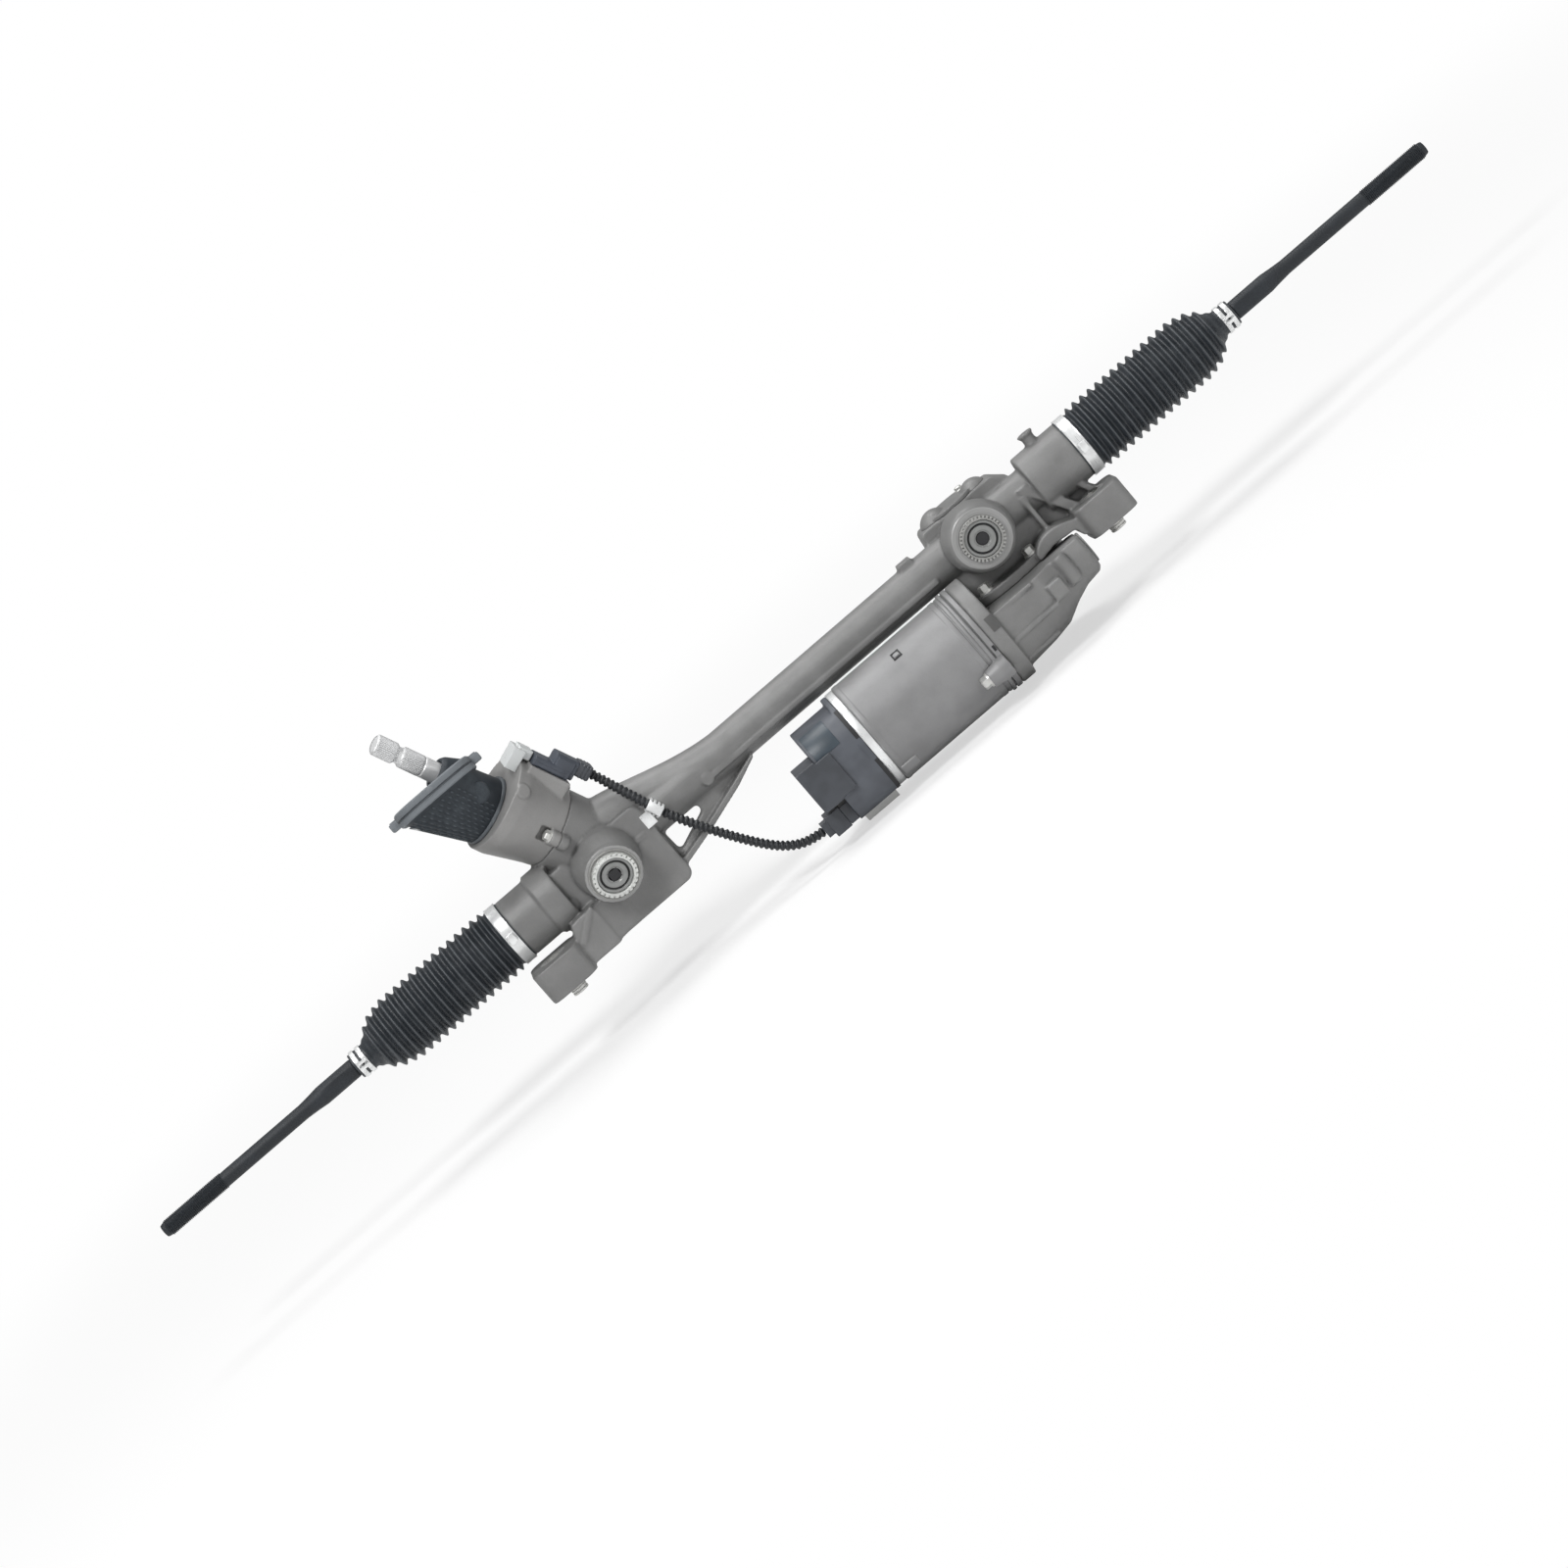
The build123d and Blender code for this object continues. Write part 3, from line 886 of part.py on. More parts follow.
def build():
    """Make every piece and put it in its node."""
    nodes["rack_housing"] = [rack_housing()]
    nodes["mounting_sleeves"] = mounting_sleeves()
    yokes, liners, springs, plugs, rings = yoke_parts()
    nodes["yokes"] = yokes
    nodes["yoke_liners"] = liners
    nodes["yoke_spring_discs"] = springs
    nodes["yoke_plugs"] = plugs
    nodes["yoke_lock_rings"] = rings
    nodes["sensor_housing"] = [steering_tower()]
    nodes["bulkhead_seal"] = [bulkhead_seal()]
    ring, connector, plug, lug = sensor_parts()
    nodes["sensor_ring"] = [ring]
    nodes["sensor_connector"] = [connector]
    nodes["sensor_plug"] = [plug]
    nodes["connector_lug"] = [lug]
    pinion, torsion, shaft, magnets = steering_shafts()
    nodes["steering_pinion"] = [pinion]
    nodes["torsion_bar"] = [torsion]
    nodes["input_shaft"] = [shaft]
    nodes["magnet_ring"] = [magnets]
    needle_low = -FACE_HALF - 6 - NEEDLE_LENGTH
    nodes["needle_bearing"] = [disc(steer_axis, NEEDLE_OUT_R, needle_low, -FACE_HALF - 6, NEEDLE_R + RUNNING)]
    cap_top = needle_low - 4
    end_cap = disc(steer_axis, END_CAP_R, cap_top - END_CAP_THICK, cap_top)
    key = Pos(0, 0, cap_top - END_CAP_THICK) * extrude(RegularPolygon(7, 6), amount=4)
    end_cap -= steer_axis.location * key
    nodes["pinion_end_cap"] = [end_cap]
    nodes["rack_bush"] = [disc(rack_line, TUBE_BORE_R, BUSH_X, BUSH_X + BUSH_LENGTH, RACK_R + RUNNING)]
    left_stop = RACK_LEFT + TRAVEL + LOOSE
    right_stop = RACK_RIGHT - TRAVEL - LOOSE
    nodes["end_stops"] = [
        disc(rack_line, SOCKET_BORE_R, left_stop, left_stop + STOP_THICK, RACK_R + 1),
        disc(rack_line, SOCKET_BORE_R, right_stop - STOP_THICK, right_stop, RACK_R + 1),
    ]
    drive, hub, rim = drive_shaft()
    nodes["drive_pinion"] = [drive]
    nodes["wheel_hub"] = [hub]
    nodes["worm_wheel_rim"] = [rim]
    nodes["worm"] = [worm()]
    nodes["gearbox_housing"] = [gearbox()]
    can, flange, band, bolts = motor_parts()
    nodes["motor_housing"] = [can]
    nodes["motor_flange"] = [flange]
    nodes["motor_band"] = [band]
    nodes["housing_bolts"] = tower_bolts() + bolts
    stator, motor_shaft, core, rotor_magnets, coupling = motor_inside()
    nodes["stator"] = [stator]
    nodes["motor_shaft"] = [motor_shaft]
    nodes["rotor_core"] = [core]
    nodes["rotor_magnets"] = [rotor_magnets]
    nodes["shaft_coupling"] = [coupling]
    cover, sink, board, power, signal, control_plug = control_unit()
    nodes["control_cover"] = [cover]
    nodes["heat_sink"] = [sink]
    nodes["control_board"] = [board]
    nodes["power_connector"] = [power]
    nodes["signal_connector"] = [signal]
    nodes["control_plug"] = [control_plug]
    lead, path = sensor_lead()
    nodes["sensor_lead"] = [lead]
    nodes["lead_clip"] = [lead_clip(path)]
    add_bearings()
    add_caps()
    nodes["rack_bar"] = [rack_bar()]
    sockets, seats, bands = [], [], []
    for name, side, rack_end, end in (("left", -1, RACK_LEFT, LEFT_END_X),
                                      ("right", 1, RACK_RIGHT, RIGHT_END_X)):
        outward = (side, 0, 0)
        rack_end_frame = Plane((rack_end, RACK_Y, RACK_Z), x_dir=(0, 1, 0), z_dir=outward)
        ball_frame = Plane((rack_end + side * BALL_OUT, RACK_Y, RACK_Z), x_dir=(0, 1, 0), z_dir=outward)
        end_frame = Plane((end, RACK_Y, RACK_Z), x_dir=(0, 1, 0), z_dir=outward)
        socket, seat = ball_joint(rack_end_frame)
        sockets.append(socket)
        seats.append(seat)
        nodes["tie_rod_" + name] = [tie_rod(ball_frame)]
        nodes["rod_clamp_" + name] = [rod_clamp(ball_frame)]
        boot, clamp = bellows(end_frame)
        nodes["bellows_" + name] = [boot]
        bands.append(clamp)
    nodes["ball_sockets"] = sockets
    nodes["ball_seats"] = seats
    nodes["band_clamps"] = bands


def add_bearings():
    """All ball bearings: outer rings stay in the housings, inner rings turn with their shafts."""
    worm_low = WORM_BEARING_START - DRIVE_X
    places = {
        "steering": [(steer_axis, STEER_JOURNAL_R, STEER_BEARING_OUT_R, STEER_BEARING_BASE, BEARING_WIDTH)],
        "drive": [
            (drive_axis, DRIVE_JOURNAL_R, DRIVE_TOP_BEARING_R, FACE_HALF + 0.7, DRIVE_BEARING_WIDTH),
            (drive_axis, DRIVE_JOURNAL_R, DRIVE_LOW_BEARING_R, -WORM_DROP - 21, DRIVE_BEARING_WIDTH),
        ],
        "motor": [
            (worm_line, SHAFT_R, WORM_BEARING_R, worm_low, WORM_BEARING_WIDTH),
            (worm_line, SHAFT_R, WORM_BEARING_R, WORM_HALF + 8, WORM_BEARING_WIDTH),
            (motor_line, SHAFT_R, MOTOR_BEARING_R, MOTOR_X0, MOTOR_BEARING_WIDTH),
            (motor_line, SHAFT_R, MOTOR_BEARING_R, MOTOR_X1 + 1, MOTOR_BEARING_WIDTH),
        ],
    }
    nodes["bearing_outer_rings"] = []
    for name, group in places.items():
        pairs = [bearing(*values) for values in group]
        nodes["bearing_outer_rings"] += [outer for outer, inner in pairs]
        nodes[name + "_inner_rings"] = [inner for outer, inner in pairs]


def add_caps():
    """The screwed caps over the drive pinion's upper bearing and under the wheel, and the worm's end."""
    top = PINION_CAP_SEAT
    cap = disc(drive_axis, 24, top, top + 3)
    screws = []
    cap += dome(DRIVE_X - 16.5, RACK_Y + 14, RACK_Z + top, 14, 5)
    cap += dome(DRIVE_X + 22.5, RACK_Y + 14, RACK_Z + top, 13, 5.5)
    for side in (-1, 1):
        place = Pos(DRIVE_X + side * 15, RACK_Y + DRIVE_OFFSET + 14, RACK_Z + top + 3)
        screws.append(place * extrude(RegularPolygon(4, 6), amount=3))
    nodes["pinion_bearing_cap"] = [cap]
    nodes["housing_bolts"] += screws
    low = -WORM_DROP - 28
    nodes["gearbox_floor_cap"] = [disc(drive_axis, 17.4, low, low + 6)]
    worm_end = disc(worm_line, WORM_CAP_R, WORM_HALF + 8 + WORM_BEARING_WIDTH, 57)
    worm_end += disc(worm_line, WORM_CAP_R + 2, 57, 59)
    nodes["worm_end_cap"] = [worm_end]


build()
for name, solids in nodes.items():
    shape = solids[0] if len(solids) == 1 else Compound(children=[s for s in solids])
    export_step(shape, f"parts/{name}.step")
print(len(nodes), "nodes")
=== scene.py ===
"""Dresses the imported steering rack: castings, bellows, lead, seal, motor and control unit."""
import json
import logging
import math
from dataclasses import dataclass
from enum import Enum
from typing import Iterable, Sequence, Union

import bmesh
import bpy
from mathutils import Matrix, Vector


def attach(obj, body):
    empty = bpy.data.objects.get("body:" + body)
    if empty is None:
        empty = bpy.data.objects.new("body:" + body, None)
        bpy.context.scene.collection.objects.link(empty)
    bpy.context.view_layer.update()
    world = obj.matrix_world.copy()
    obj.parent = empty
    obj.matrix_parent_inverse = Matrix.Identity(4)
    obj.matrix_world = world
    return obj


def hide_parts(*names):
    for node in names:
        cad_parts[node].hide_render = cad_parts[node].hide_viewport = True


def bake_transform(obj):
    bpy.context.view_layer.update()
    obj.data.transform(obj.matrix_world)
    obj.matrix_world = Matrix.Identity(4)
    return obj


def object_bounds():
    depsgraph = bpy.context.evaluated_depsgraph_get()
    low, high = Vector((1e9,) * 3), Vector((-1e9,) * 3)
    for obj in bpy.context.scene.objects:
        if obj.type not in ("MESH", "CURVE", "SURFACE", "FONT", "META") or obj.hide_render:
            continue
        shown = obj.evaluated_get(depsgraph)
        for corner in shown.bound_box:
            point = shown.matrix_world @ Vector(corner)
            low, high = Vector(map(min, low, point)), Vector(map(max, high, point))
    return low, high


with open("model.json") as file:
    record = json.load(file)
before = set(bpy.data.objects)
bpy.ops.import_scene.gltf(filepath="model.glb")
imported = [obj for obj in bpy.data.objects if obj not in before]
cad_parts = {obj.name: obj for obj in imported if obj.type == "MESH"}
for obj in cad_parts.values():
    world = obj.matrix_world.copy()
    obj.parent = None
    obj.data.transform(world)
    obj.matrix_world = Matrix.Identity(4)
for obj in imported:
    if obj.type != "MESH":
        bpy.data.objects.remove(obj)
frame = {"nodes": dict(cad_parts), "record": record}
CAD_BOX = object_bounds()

MM = 0.001
LOG = logging.getLogger("steering_rack")

Point = tuple[float, float, float]
Outline = Sequence[tuple[float, float]]
Number = Union["Value", float]


# Node trees


class Value:
    """A node socket that takes part in sums, so that node maths reads like Python."""

    def __init__(self, graph: "Graph", socket: bpy.types.NodeSocket) -> None:
        """Keeps the tree and the socket."""
        self.graph = graph
        self.socket = socket

    def __add__(self, other: Number) -> "Value":
        """Their sum."""
        return self.graph.maths("ADD", self, other)

    def __sub__(self, other: Number) -> "Value":
        """This less the other."""
        return self.graph.maths("SUBTRACT", self, other)

    def __rsub__(self, other: Number) -> "Value":
        """The other less this."""
        return self.graph.maths("SUBTRACT", other, self)

    def __mul__(self, other: Number) -> "Value":
        """Their product."""
        return self.graph.maths("MULTIPLY", self, other)

    def __truediv__(self, other: Number) -> "Value":
        """This over the other."""
        return self.graph.maths("DIVIDE", self, other)

    def __pow__(self, other: Number) -> "Value":
        """This to the power of the other."""
        return self.graph.maths("POWER", self, other)

    __radd__ = __add__
    __rmul__ = __mul__


class Graph:
    """A node tree under construction, for a material or for geometry."""

    def __init__(self, tree: bpy.types.NodeTree) -> None:
        """Empties the tree."""
        self.tree = tree
        tree.nodes.clear()

    def node(
        self,
        kind: str,
        settings: dict[str, object] | None = None,
        sockets: dict[str | int, object] | None = None,
    ) -> bpy.types.Node:
        """Adds one node.

        Args:
            kind: The node's type.
            settings: Its properties, set first; "stops" are a ramp's and "curve" a float curve's.
            sockets: A value or a link for each input, by name or number.

        Returns:
            The new node.
        """
        made = self.tree.nodes.new(kind)
        for key, value in (settings or {}).items():
            if key == "stops":
                self._set_stops(made.color_ramp, value)
            elif key == "curve":
                self._set_curve(made.mapping, value)
            else:
                setattr(made, key, value)
        for key, value in (sockets or {}).items():
            if isinstance(value, Value):
                self.tree.links.new(value.socket, made.inputs[key])
            else:
                made.inputs[key].default_value = value
        return made

    def value(
        self,
        kind: str,
        settings: dict[str, object] | None = None,
        sockets: dict[str | int, object] | None = None,
        output: int | str = 0,
    ) -> Value:
        """Adds one node and gives one of its outputs.

        Args:
            kind: The node's type.
            settings: Its properties.
            sockets: Its inputs.
            output: The output's name or number.

        Returns:
            The output, ready for maths.
        """
        return Value(self, self.node(kind, settings, sockets).outputs[output])

    def maths(self, operation: str, *numbers: Number) -> Value:
        """One Math node's result."""
        return self.value("ShaderNodeMath", {"operation": operation}, dict(enumerate(numbers)))

    def mix(self, factor: Number, first: object, second: object) -> Value:
        """A blend of two colours."""
        sockets = {0: factor, 6: first, 7: second}
        return self.value("ShaderNodeMix", {"data_type": "RGBA"}, sockets, 2)

    def smooth(self, number: Number, low: float, high: float) -> Value:
        """A step that rises from 0 to 1 between two limits."""
        settings = {"interpolation_type": "SMOOTHSTEP"}
        sockets = {"Value": number, "From Min": low, "From Max": high}
        return self.value("ShaderNodeMapRange", settings, sockets)

    def vectors(self, operation: str, *vectors: object, output: int = 0) -> Value:
        """One Vector Math node's result; output 1 is a number."""
        return self.value("ShaderNodeVectorMath", {"operation": operation}, dict(enumerate(vectors)), output)

    def pointed(self) -> Value:
        """How far each point stands out of the surface round it: 0.5 is flat."""
        return self.value("ShaderNodeNewGeometry", output="Pointiness")

    @staticmethod
    def _set_stops(ramp: bpy.types.ColorRamp, stops: Iterable[tuple[float, Point]]) -> None:
        """Sets a ramp's stops."""
        stops = list(stops)
        while len(ramp.elements) < len(stops):
            ramp.elements.new(1.0)
        for element, (place, colour) in zip(ramp.elements, stops):
            element.position = place
            element.color = (*colour, 1.0)

    @staticmethod
    def _set_curve(mapping: bpy.types.CurveMapping, points: Outline) -> None:
        """Sets a float curve's points, joined by straight lines."""
        curve = mapping.curves[0]
        while len(curve.points) < len(points):
            curve.points.new(1.0, 1.0)
        for item, (x, y) in zip(curve.points, points):
            item.location = (x, y)
            item.handle_type = "VECTOR"
        mapping.update()


# Directions and machined faces

STEER_UP = (-0.3665012, -0.2408125, 0.8987245)
STEER_OUT = (0.0, 0.9659258, 0.2588190)
STEER_FACE = (0.0, -0.9659258, -0.2588190)
FRONT = (0.0, -1.0, 0.0)
UP = (0.0, 0.0, 1.0)
RIGHT = (1.0, 0.0, 0.0)
DOWN = (0.0, 0.0, -1.0)
MACHINED_FACES = (
    ((-0.196, 0.015, 0.06), STEER_FACE, 0.044, 0.0232),
    ((0.1865, 0.015, 0.06), FRONT, 0.044, 0.0282),
    ((-0.275, 0.0, 0.0), DOWN, 0.0, 0.012),
    ((0.275, 0.0, 0.0), DOWN, 0.0, 0.012),
    ((-0.275, 0.0, 0.0), UP, 0.027, 0.0115),
    ((0.275, 0.0, 0.0), UP, 0.027, 0.0115),
)


# Finishes


@dataclass(frozen=True)
class Finish:
    """What every finish has: a colour, a roughness and how metallic it is."""

    name: str
    colour: Point
    roughness: float = 0.5
    metallic: float = 0.0
    coat: float = 0.0

    def material(self) -> bpy.types.Material:
        """The finish as a material, made once."""
        known = bpy.data.materials.get(self.name)
        if known:
            return known
        made = bpy.data.materials.new(self.name)
        made.use_nodes = True
        graph = Graph(made.node_tree)
        where = graph.value("ShaderNodeTexCoord", output="Object")
        sockets = {"Metallic": self.metallic, "Coat Weight": self.coat, "Coat Roughness": 0.25}
        sockets.update(self.surface(graph, where))
        shader = graph.value("ShaderNodeBsdfPrincipled", None, sockets)
        graph.node("ShaderNodeOutputMaterial", None, {"Surface": shader})
        made.diffuse_color = (*self.colour, 1.0)
        return made

    def surface(self, graph: Graph, where: Value) -> dict[str | int, object]:
        """What varies over the surface; each finish has its own."""
        raise NotImplementedError

    def shade(self, factor: float) -> tuple[float, float, float, float]:
        """The colour made lighter or darker."""
        return (*(min(1.0, c * factor) for c in self.colour), 1.0)

    @staticmethod
    def noise(
        graph: Graph, where: Value, size: float, detail: float = 3.0, coarse: float = 0.55
    ) -> Value:
        """Noise with features of about that size in metres."""
        sockets = {"Vector": where, "Scale": 1 / size, "Detail": detail, "Roughness": coarse}
        return graph.value("ShaderNodeTexNoise", {"noise_dimensions": "3D"}, sockets, 0)

    @staticmethod
    def bump(graph: Graph, height: Value, depth: float, strength: float = 1.0) -> Value:
        """A bump of that depth in metres."""
        sockets = {"Strength": strength, "Distance": depth, "Height": height}
        return graph.value("ShaderNodeBump", None, sockets)


@dataclass(frozen=True)
class CastFinish(Finish):
    """Cast aluminium: fine pebbling, cloudy tone, painted shade in the corners, pale edges and machined
    faces.

    Each machined face has a point, the direction it faces, its level along that, and its radius.
    """

    grain: float = 0.0011
    clouds: float = 0.035
    pebble: float = 0.00022
    tool_step: float = 1 / 900
    machined: tuple[tuple[Point, Point, float, float], ...] = ()

    def surface(self, graph: Graph, where: Value) -> dict[str | int, object]:
        """Tone, roughness and pebbling."""
        clouds = self.noise(graph, where, self.clouds, 4)
        specks = self.noise(graph, where, self.grain, 2, 0.7)
        pointed = graph.pointed()
        tone = graph.mix(graph.smooth(clouds, 0.3, 0.7), self.shade(0.88), self.shade(1.1))
        tone = graph.mix(graph.smooth(specks, 0.45, 0.8) * 0.25, tone, self.shade(0.66))
        # Painted shade: the colour darkens where the surface is hollow, in corners and recesses.
        tone = graph.mix(graph.smooth(pointed, 0.5, 0.46) * 0.6, tone, self.shade(0.4))
        tone = graph.mix(graph.smooth(pointed, 0.525, 0.6) * 0.5, tone, self.shade(1.5))
        rough = self.roughness + (clouds - 0.5) * 0.25
        relief = specks
        if self.machined:
            milled, rings = self.milled(graph, where)
            bright = graph.mix(graph.smooth(rings, 0.4, 0.65), self.shade(1.3), self.shade(1.75))
            tone = graph.mix(milled, tone, bright)
            rough = rough - milled * 0.15
            relief = specks * (1.0 - milled) + rings * milled * 0.5
        return {"Base Color": tone, "Roughness": rough, "Normal": self.bump(graph, relief, self.pebble, 0.6)}

    def milled(self, graph: Graph, where: Value) -> tuple[Value, Value]:
        """How far each point lies on a machined face, and the tool marks there."""
        whole = graph.maths("ADD", 0.0, 0.0)
        marks = graph.maths("ADD", 0.0, 0.0)
        for origin, along, level, reach in self.machined:
            offset = graph.vectors("SUBTRACT", where, origin)
            height = graph.vectors("DOT_PRODUCT", offset, along, output=1)
            far = graph.vectors("LENGTH", offset, output=1)
            radius = graph.maths("SQRT", graph.maths("MAXIMUM", far * far - height * height, 0.0))
            above = graph.smooth(height, level - 0.0008, level - 0.0004)
            below = graph.smooth(height, level + 0.0016, level + 0.0012)
            mask = above * below * graph.smooth(radius, reach + 0.001, reach)
            sockets = {"W": radius, "Scale": 1 / self.tool_step}
            turned = graph.value("ShaderNodeTexNoise", {"noise_dimensions": "1D"}, sockets, 0)
            whole = graph.maths("MAXIMUM", whole, mask)
            marks = marks + turned * mask
        return whole, marks


@dataclass(frozen=True)
class RubberFinish(Finish):
    """Moulded rubber with a dusty bloom that gathers in patches."""

    bloom: Point = (0.10, 0.11, 0.12)

    def surface(self, graph: Graph, where: Value) -> dict[str | int, object]:
        """Bloom, painted shade in the grooves, roughness and a soft skin texture."""
        patches = self.noise(graph, where, 0.018, 5, 0.6)
        skin = self.noise(graph, where, 0.0007, 2)
        tone = graph.mix(graph.smooth(patches, 0.45, 0.75) * 0.35, self.shade(1.0), (*self.bloom, 1.0))
        tone = graph.mix(graph.smooth(skin, 0.4, 0.7) * 0.3, tone, self.shade(0.6))
        pointed = graph.pointed()
        tone = graph.mix(graph.smooth(pointed, 0.515, 0.58) * 0.6, tone, (*self.bloom, 1.0))
        # Painted shade: the colour darkens in the hollows between ribs and in creases.
        tone = graph.mix(graph.smooth(pointed, 0.49, 0.44) * 0.6, tone, self.shade(0.45))
        rough = self.roughness + (patches - 0.5) * 0.3
        return {"Base Color": tone, "Roughness": rough, "Normal": self.bump(graph, skin, 0.00006, 0.5)}


@dataclass(frozen=True)
class PlasticFinish(Finish):
    """Injection-moulded plastic with a spark-eroded grain and faint flow marks."""

    grain: float = 0.0006

    def surface(self, graph: Graph, where: Value) -> dict[str | int, object]:
        """Grain, flow marks and scuffs."""
        grain = self.noise(graph, where, self.grain, 2, 0.6)
        flow = self.noise(graph, where, 0.02, 2)
        scuffs = self.noise(graph, where, 0.004, 6, 0.75)
        tone = graph.mix(graph.smooth(flow, 0.35, 0.65), self.shade(0.88), self.shade(1.12))
        tone = graph.mix(graph.smooth(scuffs, 0.62, 0.75) * 0.25, tone, self.shade(1.6))
        rough = self.roughness + (scuffs - 0.5) * 0.2
        return {"Base Color": tone, "Roughness": rough, "Normal": self.bump(graph, grain, 0.00005, 0.6)}


@dataclass(frozen=True)
class TurnedFinish(Finish):
    """Machined metal with fine tool lines across an axis."""

    axis: Point = (1.0, 0.0, 0.0)
    pitch: float = 0.0005
    mark: float = 0.12

    def surface(self, graph: Graph, where: Value) -> dict[str | int, object]:
        """Tool lines, smears, and painted shade in the hollows."""
        along = graph.vectors("DOT_PRODUCT", where, self.axis, output=1)
        sockets = {"W": along, "Scale": 1 / self.pitch, "Detail": 2.0, "Roughness": 0.5}
        lines = graph.value("ShaderNodeTexNoise", {"noise_dimensions": "1D"}, sockets, 0)
        smears = self.noise(graph, where, 0.012, 4, 0.6)
        pointed = graph.pointed()
        tone = graph.mix(graph.smooth(smears, 0.4, 0.7), self.shade(1.04), self.shade(0.92))
        tone = graph.mix(graph.smooth(lines, 0.5, 0.8) * self.mark, tone, self.shade(0.7))
        # Painted shade: the colour darkens where the surface is hollow.
        tone = graph.mix(graph.smooth(pointed, 0.49, 0.44) * 0.7, tone, self.shade(0.35))
        rough = self.roughness + (smears - 0.5) * 0.15 + (lines - 0.5) * 0.08
        return {"Base Color": tone, "Roughness": rough, "Normal": self.bump(graph, lines, 0.00001, 0.25)}


@dataclass(frozen=True)
class ForgedFinish(Finish):
    """Forged steel under a thin dark coat, with rubbed high spots."""

    rubbed: Point = (0.22, 0.22, 0.22)

    def surface(self, graph: Graph, where: Value) -> dict[str | int, object]:
        """Scale texture, coat and rubbed spots."""
        scale = self.noise(graph, where, 0.0016, 5, 0.65)
        patches = self.noise(graph, where, 0.02, 3)
        pointed = graph.pointed()
        tone = graph.mix(graph.smooth(patches, 0.35, 0.7), self.shade(0.8), self.shade(1.2))
        tone = graph.mix(graph.smooth(pointed, 0.52, 0.6) * 0.6, tone, (*self.rubbed, 1.0))
        rough = self.roughness + (scale - 0.5) * 0.3
        return {"Base Color": tone, "Roughness": rough, "Normal": self.bump(graph, scale, 0.00012, 0.5)}


class Palette(Enum):
    """Every finish on the rack."""

    CASTING = CastFinish("sand_cast_aluminium", (0.222, 0.222, 0.220), 0.52, 0.2, machined=MACHINED_FACES)
    TOWER = CastFinish("pale_cast_aluminium", (0.275, 0.272, 0.268), 0.5, 0.2, clouds=0.05)
    CAN = CastFinish("drawn_aluminium", (0.265, 0.265, 0.268), 0.5, 0.25, grain=0.0006, pebble=0.00004)
    SINK = CastFinish("bright_sink", (0.55, 0.55, 0.54), 0.4, 0.4, grain=0.0006, pebble=0.00004)
    BELLOWS = RubberFinish("bellows_rubber", (0.021, 0.026, 0.032), 0.5)
    SEAL = RubberFinish("seal_rubber", (0.017, 0.024, 0.032), 0.6, bloom=(0.10, 0.12, 0.135))
    SEAL_EDGE = RubberFinish("seal_edge_rubber", (0.105, 0.118, 0.13), 0.6, bloom=(0.22, 0.24, 0.26))
    COVER = PlasticFinish("unit_plastic", (0.088, 0.096, 0.112), 0.5)
    PANEL = PlasticFinish("unit_panel", (0.045, 0.062, 0.078), 0.4)
    BLACK = PlasticFinish("connector_plastic", (0.055, 0.060, 0.070), 0.45)
    HOOD = PlasticFinish("sensor_hood_plastic", (0.055, 0.064, 0.082), 0.45)
    LEAD = PlasticFinish("lead_sleeve", (0.022, 0.024, 0.027), 0.4)
    PALE = PlasticFinish("pale_plastic", (0.35, 0.385, 0.405), 0.4)
    NYLON = PlasticFinish("natural_nylon", (0.62, 0.56, 0.40), 0.4)
    BOARD = PlasticFinish("circuit_board", (0.02, 0.11, 0.05), 0.35)
    BAND = TurnedFinish("bright_band", (0.86, 0.87, 0.87), 0.3, 0.5)
    STEEL = TurnedFinish("machined_steel", (0.55, 0.55, 0.54), 0.35, 0.85)
    RING = TurnedFinish("turned_ring", (0.66, 0.67, 0.65), 0.4, 0.4, axis=FRONT)
    PLUG = TurnedFinish("turned_plug", (0.27, 0.275, 0.27), 0.42, 0.4, axis=FRONT)
    MOTTLED = CastFinish(
        "rough_turned_ring", (0.31, 0.31, 0.30), 0.45, 0.3, grain=0.0018, clouds=0.006, pebble=0.0005
    )
    # Painted shade: dark cast aluminium laid over the shaded pocket in the motor flange.
    PAINTED_SHADE_CAST = CastFinish("shaded_cast_aluminium", (0.085, 0.085, 0.083), 0.6, 0.1)
    # Dark plastic for the motor seal and the mark's sides, and painted shade for the yoke sockets, their
    # grooves and the flange slot.
    DARK_AND_PAINTED_SHADE = PlasticFinish("dark_parts_and_painted_shade", (0.018, 0.018, 0.02), 0.6)
    SHAFT = TurnedFinish("shaft_steel", (0.78, 0.785, 0.79), 0.34, 0.35, axis=STEER_UP)
    BOLT = TurnedFinish("zinc_plated", (0.62, 0.62, 0.60), 0.36, 0.6, axis=(0.5, 0.5, 0.7))
    FORGED = ForgedFinish("forged_black", (0.013, 0.017, 0.022), 0.6, 0.0, rubbed=(0.07, 0.075, 0.08))
    MAGNET = ForgedFinish("plated_magnet", (0.20, 0.20, 0.21), 0.3, 0.6)
    COPPER = TurnedFinish("copper_winding", (0.58, 0.27, 0.12), 0.35, 0.8, axis=UP)

    @property
    def material(self) -> bpy.types.Material:
        """The finish's material."""
        return self.value.material()


SLOT_FINISH = {
    "cast_aluminium": Palette.CASTING,
    "can": Palette.CAN,
    "band": Palette.BAND,
    "unit": Palette.COVER,
    "connector_black": Palette.BLACK,
    "pale_plastic": Palette.PALE,
    "rubber": Palette.SEAL,
    "lead": Palette.LEAD,
    "forged": Palette.FORGED,
    "steel": Palette.STEEL,
    "bolts": Palette.BOLT,
    "yoke": Palette.RING,
    "nylon": Palette.NYLON,
    "magnet": Palette.MAGNET,
    "winding": Palette.COPPER,
    "board": Palette.BOARD,
}


# Lines and forms


